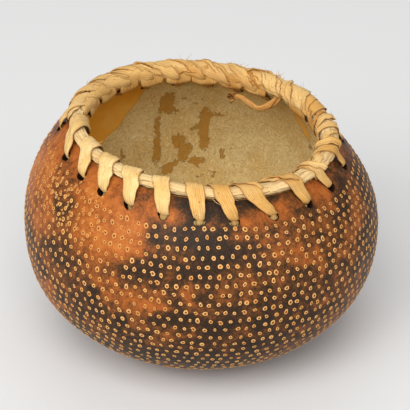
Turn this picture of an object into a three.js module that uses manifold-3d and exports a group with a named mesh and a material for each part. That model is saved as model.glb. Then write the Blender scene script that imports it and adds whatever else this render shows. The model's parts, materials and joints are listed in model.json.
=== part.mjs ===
// A gourd bowl: a dried gourd cut open at the top, pricked all over with small
// pits, its cut edge bound with a leaf core that two leaf strips lace down
// through holes in the wall. Millimetres, +Z up, origin at the middle of the
// flat spot that the bowl stands on. +X is the right of the bowl, -Y its front.
import * as THREE from "three";
import { mergeVertices } from "three/addons/utils/BufferGeometryUtils.js";
import Module from "manifold-3d";

// The gourd's outer form: a superellipse below the widest ring and one above it.
const BODY_RADIUS = 95;
const LOWER_HEIGHT = 68.4;
const LOWER_POWER = 2.16;
const UPPER_HEIGHT = 74.8;
const UPPER_POWER = 2.18;
const STANDING_HEIGHT = 66; // the widest ring above the table, so the tip is flattened
const FLAT_SPOT = 27; // radius of the flat spot that the bowl stands on
const BARE_FOOT = 31; // along the wall from the middle of the base to the first pits
const MOUTH_HEIGHT = 54.3; // the cut edge above the widest ring

// How the gourd grew out of true: its top leans down to the right and the front.
const LEAN_RIGHT = THREE.MathUtils.degToRad(3.5);
const LEAN_FRONT = THREE.MathUtils.degToRad(1.5);
const LEAN_POWER = 1.3;
const TOP_DRIFT = -2; // sideways shift of the mouth
const BASE_DRIFT = 1.6; // sideways shift of the base
const CUT_SWING = 3.7; // the cut runs this much lower down the wall on the right

// The wall and the cut edge.
const WALL_AT_MOUTH = 5.2;
const WALL_AT_BASE = 8;
const EDGE_BEVEL = 5.8; // the inner edge is this much further along the wall, so the cut is level
const INNER_RINGS = 9;
const RING_SEGMENTS = 72;

// Pricked pits, in staggered rows, larger than life and fewer.
const PIT_SPACING = 10.8;
const PIT_RADIUS = 2.5;
const PIT_DEPTH = 1;
const PIT_WANDER = 0.13; // share of the spacing that a pit strays
const LOWEST_PIT_ROW = 40; // along the wall from the middle of the base
const PIT_FREE_BAND = 20.5; // bare wall below the cut edge
const BARE_RINGS = [12, 6, 0]; // rings of the bare wall, below the cut edge
const SEED = 7;

// Lacing holes.
const HOLE_RADIUS = 3;
const HOLE_DROP_FRONT = 11; // from the cut edge to a hole's middle, along the wall, front and back
const HOLE_DROP_SIDES = 7.8; // the same at the left and the right
const HOLE_SIDES = 10;

// The leaf core that lies on the cut edge.
const CORE_WIDTH = 8.2;
const CORE_SEAT = 0.38; // where its middle sits, from the outer edge of the cut to the inner one
const CORE_HEIGHT = 5.4;
const CORE_SIDES = 8;
const CORE_SEGMENTS = 72;

// The lacing strips.
const STRIP_THICKNESS = 0.9;
const STRIP_GAP = 0.4; // clear space between a strip and what it wraps
const STRIP_IN_HOLE = 4.4; // a strip's width where it is pinched through a hole

// Each stitch in the order it was laced: the angle of its hole round the mouth,
// its width over the edge, and the share of the way to the next hole that it has
// gone by the time it reaches the top of the core.
const PALE_STITCHES = [
  { angle: 257, width: 9.2, lean: 0.3 },
  { angle: 243, width: 10.5, lean: 0.4 },
  { angle: 230, width: 11.5, lean: 0.6 },
  { angle: 217, width: 13, lean: 0.7 },
  { angle: 202, width: 16.5, lean: 0.65 },
  { angle: 178, width: 16, lean: 0.5 },
  { angle: 160, width: 14.2, lean: 0.5 },
  { angle: 144.5, width: 14, lean: 0.5 },
  { angle: 129.5, width: 14, lean: 0.5 },
  { angle: 114.5, width: 14, lean: 0.5 },
  { angle: 99.5, width: 13, lean: 0.5 },
  { angle: 85.5, width: 12.6, lean: 0.5 },
  { angle: 72, width: 12.4, lean: 0.5 },
  { angle: 58, width: 12, lean: 0.45 },
];
const TAN_STITCHES = [
  { angle: 42.5, width: 13.6, lean: 0.45 },
  { angle: 27, width: 12, lean: 0.4 },
  { angle: 10, width: 8.6, lean: 0.35 },
  { angle: 349, width: 7.5, lean: 0.45 },
  { angle: 331, width: 6.8, lean: 0.5 },
  { angle: 315.5, width: 9, lean: 0.55 },
  { angle: 299, width: 8.4, lean: 0.6 },
  { angle: 283.5, width: 7.4, lean: 0.4 },
  { angle: 270.5, width: 7.8, lean: 0.25 },
];
const PALE_END = 44; // the angle that the pale strip heads for before its loose end
const TAN_END = 261; // the angle that the tan strip heads for before it is tucked away

// The pale strip's loose end, which lies inside the rim at the back right and ends
// in a knot: points along it, as the angle round the mouth, the distance from the
// bowl's middle and the height over the table, with the width and the thickness.
const LOOSE_END = [
  { angle: 50.4, reach: 60.4, height: 115.4, width: 6, thickness: 1 },
  { angle: 51.2, reach: 60.2, height: 112.8, width: 5.2, thickness: 1.2 },
  { angle: 53.2, reach: 58.8, height: 110.9, width: 4.8, thickness: 1.4 },
  { angle: 56, reach: 56.6, height: 110.3, width: 4.6, thickness: 1.6 },
  { angle: 59.6, reach: 56, height: 111.2, width: 4.2, thickness: 1.8 },
  { angle: 63, reach: 56, height: 112.6, width: 3.8, thickness: 2 },
  { angle: 67, reach: 56.4, height: 114, width: 4.6, thickness: 3 },
  { angle: 70, reach: 56.6, height: 114.6, width: 6, thickness: 4 },
  { angle: 73, reach: 56.6, height: 114, width: 4.2, thickness: 2.6 },
];

const COLOURS = { skin: 0x8a4a22, core: 0xe3c38c, pale: 0xe6c890, tan: 0xd9a865 };
const FULL_TURN = 2 * Math.PI;

const wasm = await Module();
wasm.setup();

// The line from the middle of the base up the gourd's wall, as radius and height.
class Meridian extends THREE.Curve {
  getPoint(t) {
    const tilt = -Math.PI / 2 + t * Math.PI * 0.86;
    const upper = tilt > 0;
    const power = 2 / (upper ? UPPER_POWER : LOWER_POWER);
    const tall = upper ? UPPER_HEIGHT : LOWER_HEIGHT;
    const height = Math.sign(tilt) * tall * Math.abs(Math.sin(tilt)) ** power;
    return new THREE.Vector2(BODY_RADIUS * Math.cos(tilt) ** power, height);
  }
}
const meridian = new Meridian();
meridian.arcLengthDivisions = 2000;
const meridianLength = meridian.getLength();

// The length along the meridian at which it reaches a height over the widest ring.
function lengthAtHeight(height) {
  let low = 0;
  let high = meridianLength;
  for (let step = 0; step < 40; step++) {
    const middle = (low + high) / 2;
    if (meridian.getPointAt(middle / meridianLength).y < height) low = middle;
    else high = middle;
  }
  return low;
}
const mouthLength = lengthAtHeight(MOUTH_HEIGHT);

// The length along the wall from the base to the cut edge, at an angle.
const edgeLength = (angle) => mouthLength - CUT_SWING * Math.cos(angle);

// The length along the wall from a hole's middle to the cut edge, at an angle.
const holeDrop = (angle) =>
  THREE.MathUtils.lerp(HOLE_DROP_FRONT, HOLE_DROP_SIDES, Math.cos(angle) ** 2);

// The wall's thickness at a length along it.
function wallAt(length) {
  const share = THREE.MathUtils.clamp(length / mouthLength, 0, 1);
  return THREE.MathUtils.lerp(WALL_AT_BASE, WALL_AT_MOUTH, share);
}

// A point of the gourd at an angle and a length along the wall, this far inside it.
function gourdPoint(angle, length, inset = 0) {
  const share = length / meridianLength;
  const point = meridian.getPointAt(share);
  const along = meridian.getTangentAt(share);
  const radius = Math.max(point.x - inset * along.y, 0);
  const rise = point.y + inset * along.x;
  const lifted = THREE.MathUtils.clamp(rise / MOUTH_HEIGHT, 0, 1.2) ** LEAN_POWER;
  const sunk = rise < 0 ? (rise / LOWER_HEIGHT) ** 2 : 0;
  const x = radius * Math.cos(angle);
  const y = radius * Math.sin(angle);
  const lean = lifted * (y * Math.tan(LEAN_FRONT) - x * Math.tan(LEAN_RIGHT));
  const drift = lifted * TOP_DRIFT + sunk * BASE_DRIFT;
  const height = Math.max(rise + lean + STANDING_HEIGHT, 0);
  return new THREE.Vector3(x + drift, y, height);
}

// A repeatable stream of numbers from -1 to 1.
function seededSpread(seed) {
  let state = seed;
  return () => {
    state = (state * 16807) % 2147483647;
    return (2 * state) / 2147483647 - 1;
  };
}

// Gathers vertices and faces into one closed geometry.
class Skin {
  constructor() {
    this.positions = [];
    this.faces = [];
  }
  add(point) {
    this.positions.push(point.x, point.y, point.z);
    return this.positions.length / 3 - 1;
  }
  face(a, b, c) {
    this.faces.push(a, b, c);
  }
  // Fills the band between two closed rings of { index, angle }, facing outwards.
  band(lower, upper) {
    const angleOf = (ring, at) =>
      ring[at % ring.length].angle + (at >= ring.length ? FULL_TURN : 0);
    let i = 0;
    let j = 0;
    while (i < lower.length || j < upper.length) {
      const a = lower[i % lower.length].index;
      const b = upper[j % upper.length].index;
      const lowerNext = i < lower.length ? angleOf(lower, i + 1) : Infinity;
      const upperNext = j < upper.length ? angleOf(upper, j + 1) : Infinity;
      if (lowerNext <= upperNext) this.face(a, lower[++i % lower.length].index, b);
      else this.face(a, upper[++j % upper.length].index, b);
    }
  }
  // Closes a ring with one middle point; upwards if the ring is seen from above.
  cap(ring, middle, upwards) {
    ring.forEach((corner, at) => {
      const next = ring[(at + 1) % ring.length];
      if (upwards) this.face(middle, corner.index, next.index);
      else this.face(middle, next.index, corner.index);
    });
  }
  geometry() {
    const made = new THREE.BufferGeometry();
    const positions = new THREE.Float32BufferAttribute(this.positions, 3);
    made.setAttribute("position", positions);
    made.setIndex(this.faces);
    return made;
  }
}

// A plain ring of the skin, its points given by a function of the angle.
function plainRing(skin, segments, pointAt) {
  return Array.from({ length: segments }, (_, at) => {
    const angle = (FULL_TURN * at) / segments;
    return { angle, index: skin.add(pointAt(angle)) };
  });
}

// One row of pits at a share of the way up the wall. It returns the row's lower
// and upper edge, between which the pits themselves are filled.
function pitRow(skin, share, row, stray) {
  const radius = gourdPoint(0, share * mouthLength).x;
  const count = Math.round((FULL_TURN * radius) / PIT_SPACING);
  const lower = [];
  const upper = [];
  for (let at = 0; at < count; at++) {
    const wander = (PIT_WANDER * PIT_SPACING * stray()) / radius;
    const angle = (FULL_TURN * (at + (row % 2 ? 0.75 : 0.25))) / count + wander;
    const length = share * edgeLength(angle) + PIT_WANDER * PIT_SPACING * stray();
    const size = PIT_RADIUS * (1 + 0.15 * stray());
    const corner = (across, along) => ({
      angle: angle + (across * size) / radius,
      index: skin.add(gourdPoint(angle + (across * size) / radius, length + along * size)),
    });
    const [left, right, top, bottom] = [corner(-1, 0), corner(1, 0), corner(0, 1), corner(0, -1)];
    const middle = skin.add(gourdPoint(angle, length, PIT_DEPTH));
    skin.cap([bottom, right, top, left], middle, true);
    lower.push(left, bottom, right);
    upper.push(left, top, right);
  }
  return { lower, upper };
}

// The gourd's wall with its pits, before the lacing holes are cut.
function gourdSkin() {
  const skin = new Skin();
  const stray = seededSpread(SEED);
  const outside = (share) => (angle) => gourdPoint(angle, share * edgeLength(angle));
  const foot = skin.add(gourdPoint(0, 0));
  const flat = plainRing(skin, RING_SEGMENTS / 2, outside(FLAT_SPOT / mouthLength));
  skin.cap(flat, foot, false);
  let below = plainRing(skin, RING_SEGMENTS / 2, outside(BARE_FOOT / mouthLength));
  skin.band(flat, below);
  const rows = Math.round((mouthLength - PIT_FREE_BAND - LOWEST_PIT_ROW) / PIT_SPACING);
  for (let row = 0; row <= rows; row++) {
    const climbed = THREE.MathUtils.lerp(LOWEST_PIT_ROW, mouthLength - PIT_FREE_BAND, row / rows);
    const { lower, upper } = pitRow(skin, climbed / mouthLength, row, stray);
    skin.band(below, lower);
    below = upper;
  }
  for (const drop of BARE_RINGS) {
    const ring = plainRing(skin, RING_SEGMENTS, (angle) => gourdPoint(angle, edgeLength(angle) - drop));
    skin.band(below, ring);
    below = ring;
  }
  const inside = (share) => (angle) => {
    const length = share * (edgeLength(angle) + EDGE_BEVEL);
    return gourdPoint(angle, length, wallAt(length));
  };
  for (let ring = INNER_RINGS; ring > 0; ring--) {
    const share = Math.sin((Math.PI / 2) * (ring / INNER_RINGS));
    const next = plainRing(skin, ring > 2 ? RING_SEGMENTS : RING_SEGMENTS / 2, inside(share));
    skin.band(below, next);
    below = next;
  }
  skin.cap(below, skin.add(gourdPoint(0, 0, WALL_AT_BASE)), true);
  return skin.geometry();
}

// The direction square to the wall, outwards, at an angle and a length.
function wallNormal(angle, length) {
  return gourdPoint(angle, length).sub(gourdPoint(angle, length, 1)).normalize();
}

// A solid for cutting, from any closed geometry.
function solid(geometry) {
  const bare = geometry.clone();
  bare.deleteAttribute("normal");
  bare.deleteAttribute("uv");
  const merged = mergeVertices(bare, 1e-4);
  return new wasm.Manifold(
    new wasm.Mesh({
      numProp: 3,
      vertProperties: new Float32Array(merged.attributes.position.array),
      triVerts: new Uint32Array(merged.index.array),
    }),
  );
}

// The geometry of a solid that has been cut.
function geometryOf(cut) {
  const mesh = cut.getMesh();
  const made = new THREE.BufferGeometry();
  made.setAttribute("position", new THREE.BufferAttribute(mesh.vertProperties, 3));
  made.setIndex(new THREE.BufferAttribute(mesh.triVerts, 1));
  return made;
}

// The drill that makes one lacing hole.
function holeDrill(angle) {
  const length = edgeLength(angle) - holeDrop(angle);
  const normal = wallNormal(angle, length);
  const drill = new THREE.CylinderGeometry(HOLE_RADIUS, HOLE_RADIUS, 4 * WALL_AT_MOUTH, HOLE_SIDES);
  const turn = new THREE.Quaternion().setFromUnitVectors(new THREE.Vector3(0, 1, 0), normal);
  const middle = gourdPoint(angle, length, WALL_AT_MOUTH / 2);
  return drill.applyQuaternion(turn).translate(middle.x, middle.y, middle.z);
}

function gourdShell() {
  let shell = solid(gourdSkin());
  for (const stitch of [...PALE_STITCHES, ...TAN_STITCHES]) {
    shell = shell.subtract(solid(holeDrill(THREE.MathUtils.degToRad(stitch.angle))));
  }
  return geometryOf(shell);
}

// The core's half width and half height at an angle: fullest at the right and
// the back, thinnest at the front.
function coreSize(angle) {
  const right = Math.cos(angle);
  const back = Math.sin(angle);
  const ripple = 0.04 * Math.sin(5 * angle + 1) + 0.03 * Math.sin(11 * angle);
  return {
    width: (CORE_WIDTH / 2) * (1 + 0.1 * right + ripple),
    height: (CORE_HEIGHT / 2) * (1 + 0.06 * right + 0.26 * back - ripple),
  };
}

// The middle of the core at an angle, and the way outwards from it.
function coreFrame(angle) {
  const outer = gourdPoint(angle, edgeLength(angle));
  const innerLength = edgeLength(angle) + EDGE_BEVEL;
  const inner = gourdPoint(angle, innerLength, wallAt(innerLength));
  const middle = outer.clone().lerp(inner, CORE_SEAT);
  middle.z = outer.z + coreSize(angle).height + STRIP_GAP;
  const outwards = new THREE.Vector3(Math.cos(angle), Math.sin(angle), 0);
  return { middle, outwards };
}

// A point round the core's section, this far clear of it.
function coreFlank(angle, turn, clear) {
  const { width, height } = coreSize(angle);
  const { middle, outwards } = coreFrame(angle);
  const point = middle.addScaledVector(outwards, (width + clear) * Math.cos(turn));
  point.z += (height + clear) * Math.sin(turn);
  return point;
}

// Joins rings of equal size into one closed body, with flat ends unless it loops.
// The second half of each ring is split the other way, so that both faces of a
// thin strip are split alike and can't cross where it twists.
function sweep(rings, loops) {
  const skin = new Skin();
  const indices = rings.map((ring) => ring.map((point) => skin.add(point)));
  const sides = rings[0].length;
  const spans = loops ? rings.length : rings.length - 1;
  for (let at = 0; at < spans; at++) {
    const here = indices[at];
    const there = indices[(at + 1) % rings.length];
    for (let side = 0; side < sides; side++) {
      const next = (side + 1) % sides;
      const [from, to] = side < sides / 2 ? [here[next], there[side]] : [here[side], there[next]];
      skin.face(here[side], here[next], to);
      skin.face(from, there[next], there[side]);
    }
  }
  if (!loops) {
    const last = indices[rings.length - 1];
    // The ends are fanned from the second corner, the only one that may turn inwards.
    for (let side = 2; side < sides; side++) {
      const next = (side + 1) % sides;
      skin.face(indices[0][1], indices[0][next], indices[0][side]);
      skin.face(last[1], last[side], last[next]);
    }
  }
  return skin.geometry();
}

function rimCore() {
  const rings = Array.from({ length: CORE_SEGMENTS }, (_, at) => {
    const angle = (FULL_TURN * at) / CORE_SEGMENTS;
    return Array.from({ length: CORE_SIDES }, (_, side) =>
      coreFlank(angle, (-FULL_TURN * (side + 0.5)) / CORE_SIDES, 0),
    );
  });
  return sweep(rings, true);
}

// The stations of one stitch, from its hole up the outside, over the core and
// down the inside to the next hole. travel is the share of the way to the next
// hole; outside and inside are shares of the way from the edge down to a hole;
// turn goes round the core; pinch is 1 where the strip is squeezed to pass a hole.
// A strip's last stitch ends at the core's inner flank.
function stitchStations(lean, ends) {
  const clear = STRIP_GAP + STRIP_THICKNESS / 2;
  const later = (share) => THREE.MathUtils.lerp(lean, 1, share);
  const rise = [
    { travel: 0, hole: 0.35, pinch: 1 },
    { travel: 0, hole: -0.05, pinch: 1 },
    { travel: 0, outside: 0.88, clear, pinch: 0.9 },
    { travel: 0.2 * lean, outside: 0.65, clear: clear + 0.2, pinch: 0.4 },
    { travel: 0.55 * lean, outside: 0.3, clear: clear + 0.1, pinch: 0.1 },
    { travel: 0.8 * lean, turn: -22.5, clear, pinch: 0 },
    { travel: 0.87 * lean, turn: 22.5, clear, pinch: 0 },
    { travel: 0.95 * lean, turn: 67.5, clear, pinch: 0 },
    { travel: later(0.05), turn: 112.5, clear, pinch: 0 },
    { travel: later(0.15), turn: 157.5, clear: clear + 0.2, pinch: 0 },
  ];
  const fall = [
    { travel: later(0.38), inside: 0, clear: clear + 0.8, pinch: 0 },
    { travel: later(0.6), inside: 0.3, clear: clear + 0.5, pinch: 0.1 },
    { travel: later(0.9), inside: 0.72, clear: clear + 0.5, pinch: 0.5 },
    { travel: 1, inside: 0.92, clear: clear + 0.3, pinch: 0.9 },
    { travel: 1, hole: 1.1, pinch: 1 },
  ];
  const tuck = [{ travel: later(0.3), turn: 200, clear: clear + 0.7, pinch: 0.5 }];
  return [...rise, ...(ends ? tuck : fall)];
}

// The point of a station at an angle, this far out from the strip's middle.
function stationPoint(station, angle, out) {
  const edge = edgeLength(angle);
  if (station.hole !== undefined) {
    // In a hole the strip's outer face looks down the wall.
    return gourdPoint(angle, edge - holeDrop(angle) - out, station.hole * WALL_AT_MOUTH);
  }
  if (station.outside !== undefined) {
    const length = edge - station.outside * holeDrop(angle);
    return gourdPoint(angle, length, -station.clear - out);
  }
  if (station.inside !== undefined) {
    const length = THREE.MathUtils.lerp(edge + EDGE_BEVEL, edge - holeDrop(angle), station.inside);
    return gourdPoint(angle, length, wallAt(length) + station.clear + out);
  }
  return coreFlank(angle, THREE.MathUtils.degToRad(station.turn), station.clear + out);
}

// The six corners of a strip's section: three along its inner face and three
// along its outer face, spread along the mouth by its width.
function stripSection(station, angle, width) {
  const radius = Math.hypot(...stationPoint(station, angle, 0).toArray().slice(0, 2));
  const reach = width / 2 / radius;
  const half = STRIP_THICKNESS / 2;
  const corner = (side, out) => stationPoint(station, angle + side * reach, out * half);
  return [corner(-1, 1), corner(0, 1), corner(1, 1), corner(1, -1), corner(0, -1), corner(-1, -1)];
}

// The sections of all the stitches of one strip, up to the angle where it ends.
function stripSections(stitches, endAngle) {
  const sections = [];
  stitches.forEach((stitch, at) => {
    const ends = at === stitches.length - 1;
    const next = ends ? endAngle : stitches[at + 1].angle;
    const swing = ((next - stitch.angle + 540) % 360) - 180;
    for (const station of stitchStations(stitch.lean, ends)) {
      const angle = THREE.MathUtils.degToRad(stitch.angle + swing * station.travel);
      const width = THREE.MathUtils.lerp(stitch.width, STRIP_IN_HOLE, station.pinch);
      sections.push(stripSection(station, angle, width));
    }
  });
  return sections;
}

// The sections of the loose end, which turns off sideways along the inside.
function looseEndSections() {
  const points = LOOSE_END.map(({ angle, reach, height }) => {
    const turn = THREE.MathUtils.degToRad(angle);
    return new THREE.Vector3(reach * Math.cos(turn), reach * Math.sin(turn), height);
  });
  return points.map((point, at) => {
    const before = points[Math.max(at - 1, 0)];
    const after = points[Math.min(at + 1, points.length - 1)];
    const ahead = after.clone().sub(before).normalize();
    const out = new THREE.Vector3(0, 0, 1).cross(ahead).normalize();
    const across = ahead.clone().cross(out);
    const { width, thickness } = LOOSE_END[at];
    const corner = (side, lift) =>
      point.clone()
        .addScaledVector(across, (side * width) / 2)
        .addScaledVector(out, (lift * thickness) / 2);
    return [corner(-1, 1), corner(0, 1.2), corner(1, 1), corner(1, -1), corner(0, -1.2), corner(-1, -1)];
  });
}

function paleStrip() {
  return sweep([...stripSections(PALE_STITCHES, PALE_END), ...looseEndSections()], false);
}

function tanStrip() {
  return sweep(stripSections(TAN_STITCHES, TAN_END), false);
}

// A named mesh with its own plain material.
function piece(name, geometry, colour, roughness) {
  const material = new THREE.MeshStandardMaterial({ color: colour, roughness, metalness: 0 });
  const mesh = new THREE.Mesh(geometry, material);
  mesh.name = name;
  return mesh;
}

const bowl = new THREE.Group();
bowl.name = "gourd_bowl";
bowl.add(piece("gourd_shell", gourdShell(), COLOURS.skin, 0.45));
bowl.add(piece("rim_core", rimCore(), COLOURS.core, 0.8));
bowl.add(piece("lacing_strip_pale", paleStrip(), COLOURS.pale, 0.75));
bowl.add(piece("lacing_strip_tan", tanStrip(), COLOURS.tan, 0.75));

export default bowl;
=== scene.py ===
"""Dresses a gourd bowl: its pricked skin, its pith and its laced leaf rim.

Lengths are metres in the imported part's frame: +Z up, the bowl's front at -Y, and
the origin on the surface that it stands on. Angles round the mouth are degrees
from +X, counterclockwise seen from above: 270 is the front and 180 the left.
"""

from __future__ import annotations

import json
import logging
import math
from dataclasses import dataclass
from enum import Enum
from functools import cached_property
from typing import Iterable, Sequence

import bpy
import numpy as np
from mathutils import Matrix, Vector, noise

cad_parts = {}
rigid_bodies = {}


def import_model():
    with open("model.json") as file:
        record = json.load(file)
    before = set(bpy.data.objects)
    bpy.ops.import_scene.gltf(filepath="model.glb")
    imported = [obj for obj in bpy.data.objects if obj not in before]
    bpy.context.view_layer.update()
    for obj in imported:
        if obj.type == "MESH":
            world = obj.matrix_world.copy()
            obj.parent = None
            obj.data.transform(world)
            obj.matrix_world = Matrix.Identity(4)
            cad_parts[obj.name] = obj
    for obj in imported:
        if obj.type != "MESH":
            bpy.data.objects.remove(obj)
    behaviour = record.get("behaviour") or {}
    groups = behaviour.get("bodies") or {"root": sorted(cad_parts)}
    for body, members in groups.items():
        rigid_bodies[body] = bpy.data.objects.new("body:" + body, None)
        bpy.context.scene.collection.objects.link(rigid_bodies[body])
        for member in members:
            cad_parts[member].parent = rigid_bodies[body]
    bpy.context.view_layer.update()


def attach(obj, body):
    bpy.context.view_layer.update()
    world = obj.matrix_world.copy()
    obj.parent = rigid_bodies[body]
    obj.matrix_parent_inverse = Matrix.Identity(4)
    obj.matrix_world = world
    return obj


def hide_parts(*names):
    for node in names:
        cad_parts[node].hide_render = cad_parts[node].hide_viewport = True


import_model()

LOG = logging.getLogger("gourd_bowl")
FULL_TURN = 2 * math.pi
ROOT = "root"
Colour = tuple[float, float, float, float]


def paint(red: int, green: int, blue: int) -> Colour:
    """Turns a colour as seen on a screen, 0 to 255, into the renderer's linear one."""

    def linear(part: int) -> float:
        """Undoes a screen's response for one channel."""
        share = part / 255
        return share / 12.92 if share <= 0.04045 else ((share + 0.055) / 1.055) ** 2.4

    return (linear(red), linear(green), linear(blue), 1.0)


class Sock:
    """A node socket that takes part in Python expressions: each operator adds a Math node."""

    def __init__(self, graph: "Graph", socket: bpy.types.NodeSocket) -> None:
        """Wraps a socket of a graph."""
        self.graph = graph
        self.socket = socket

    def math(self, operation: str, *terms: "Term") -> "Sock":
        """Adds a Math node over this socket and the terms after it."""
        values = dict(enumerate((self, *terms)))
        return self.graph.node("ShaderNodeMath", {"operation": operation}, values)["Value"]

    def __add__(self, other: "Term") -> "Sock":
        """Adds a number or a socket."""
        return self.math("ADD", other)

    __radd__ = __add__

    def __mul__(self, other: "Term") -> "Sock":
        """Multiplies by a number or a socket."""
        return self.math("MULTIPLY", other)

    __rmul__ = __mul__

    def __sub__(self, other: "Term") -> "Sock":
        """Takes away a number or a socket."""
        return self.math("SUBTRACT", other)

    def __rsub__(self, other: float) -> "Sock":
        """Takes this socket away from a number."""
        return self.math("MULTIPLY_ADD", -1.0, other)

    def __truediv__(self, other: "Term") -> "Sock":
        """Divides by a number or a socket."""
        return self.math("DIVIDE", other)

    def __abs__(self) -> "Sock":
        """Drops the sign."""
        return self.math("ABSOLUTE")

    def power(self, exponent: float) -> "Sock":
        """Raises a value from 0 upwards to a power."""
        return self.math("POWER", exponent)

    def wave(self) -> "Sock":
        """Takes the cosine of an angle in radians."""
        return self.math("COSINE")

    def between(self, low: float, high: float) -> "Sock":
        """Rises smoothly from 0 at low to 1 at high, either way round."""
        values = {"Value": self, "From Min": low, "From Max": high, "To Min": 0.0, "To Max": 1.0}
        return self.graph.node("ShaderNodeMapRange", {"interpolation_type": "SMOOTHSTEP"}, values)["Result"]


Term = Sock | float


class Made:
    """A node that has been added, whose outputs are read by name."""

    def __init__(self, graph: "Graph", node: bpy.types.Node) -> None:
        """Wraps a node of a graph."""
        self.graph = graph
        self.node = node

    def __getitem__(self, name: str) -> Sock:
        """Gives the output in use that has this name."""
        return Sock(self.graph, live_socket(self.node.outputs, name))


def live_socket(sockets: Iterable[bpy.types.NodeSocket], key: str | int) -> bpy.types.NodeSocket:
    """Finds a node's socket.

    Args:
        sockets: the node's inputs or outputs.
        key: a socket's number, or its name, of which a node may have several out of use.

    Returns:
        The socket that is in use.
    """
    found = list(sockets)
    if isinstance(key, int):
        return found[key]
    return next(socket for socket in found if socket.name == key and socket.enabled)


class Graph:
    """Builds one node tree, a material's or a Geometry Nodes group's."""

    def __init__(self, tree: bpy.types.NodeTree) -> None:
        """Starts on an empty tree."""
        self.tree = tree
        tree.nodes.clear()

    def node(self, kind: str, settings: dict | None = None, values: dict | None = None) -> Made:
        """Adds a node.

        Args:
            kind: the node's type.
            settings: its properties, set before its sockets. "stops" is a ramp's list of
                places and colours.
            values: numbers, vectors, materials or sockets, by input name or number.

        Returns:
            The node, ready to read its outputs from.
        """
        node = self.tree.nodes.new(kind)
        for name, setting in (settings or {}).items():
            if name == "stops":
                self.set_stops(node.color_ramp, setting)
            else:
                setattr(node, name, setting)
        for key, value in (values or {}).items():
            socket = live_socket(node.inputs, key)
            if isinstance(value, Sock):
                self.tree.links.new(value.socket, socket)
            else:
                socket.default_value = value
        return Made(self, node)

    @staticmethod
    def set_stops(ramp: bpy.types.ColorRamp, stops: Sequence[tuple[float, Colour]]) -> None:
        """Replaces a ramp's stops."""
        while len(ramp.elements) > 1:
            ramp.elements.remove(ramp.elements[-1])
        ramp.elements[0].position, ramp.elements[0].color = stops[0]
        for place, colour in stops[1:]:
            ramp.elements.new(place).color = colour


class Shader(Graph):
    """Builds one material, with the few nodes that every finish of the bowl uses."""

    def __init__(self, name: str) -> None:
        """Makes the material and empties its tree."""
        self.material = bpy.data.materials.new(name)
        self.material.use_nodes = True
        super().__init__(self.material.node_tree)

    @cached_property
    def place(self) -> Sock:
        """The point being shaded, in the part's own frame."""
        return self.node("ShaderNodeTexCoord")["Object"]

    def attribute(self, name: str) -> Sock:
        """Reads a number that the mesh carries on its points."""
        return self.node("ShaderNodeAttribute", {"attribute_name": name})["Fac"]

    def vector(self, x: Term, y: Term, z: Term) -> Sock:
        """Joins three values into a place for a texture."""
        return self.node("ShaderNodeCombineXYZ", {}, {"X": x, "Y": y, "Z": z})["Vector"]

    def grain(self, scale: float, detail: float = 4.0, rough: float = 0.55, twist: float = 0.0,
              at: Sock | None = None) -> Sock:
        """Adds a noise.

        Args:
            scale: waves in a metre.
            detail: octaves.
            rough: how much the small octaves count.
            twist: how far the noise is dragged about.
            at: where it is read, the object's own place if left out.

        Returns:
            The noise, about 0.5 on average.
        """
        values = {"Vector": at or self.place, "Scale": scale, "Detail": detail,
                  "Roughness": rough, "Distortion": twist}
        return self.node("ShaderNodeTexNoise", {}, values)["Fac"]

    def ramp(self, value: Sock, stops: Sequence[tuple[float, Colour]]) -> Sock:
        """Turns a value into a colour."""
        return self.node("ShaderNodeValToRGB", {"stops": stops}, {"Fac": value})["Color"]

    def mix(self, share: Term, first: Sock | Colour, second: Sock | Colour, blend: str = "MIX") -> Sock:
        """Mixes two colours."""
        settings = {"data_type": "RGBA", "blend_type": blend, "clamp_factor": True}
        return self.node("ShaderNodeMix", settings, {"Factor": share, "A": first, "B": second})["Result"]

    def relief(self, height: Sock, depth: float, strength: float = 1.0) -> Sock:
        """Turns a height into a shading normal."""
        values = {"Height": height, "Distance": depth, "Strength": strength}
        return self.node("ShaderNodeBump", {}, values)["Normal"]

    def finish(self, values: dict) -> bpy.types.Material:
        """Adds the surface shader and the output.

        Args:
            values: the surface shader's inputs.

        Returns:
            The finished material.
        """
        surface = self.node("ShaderNodeBsdfPrincipled", {}, values)["BSDF"]
        self.node("ShaderNodeOutputMaterial", {}, {"Surface": surface})
        return self.material


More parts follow.
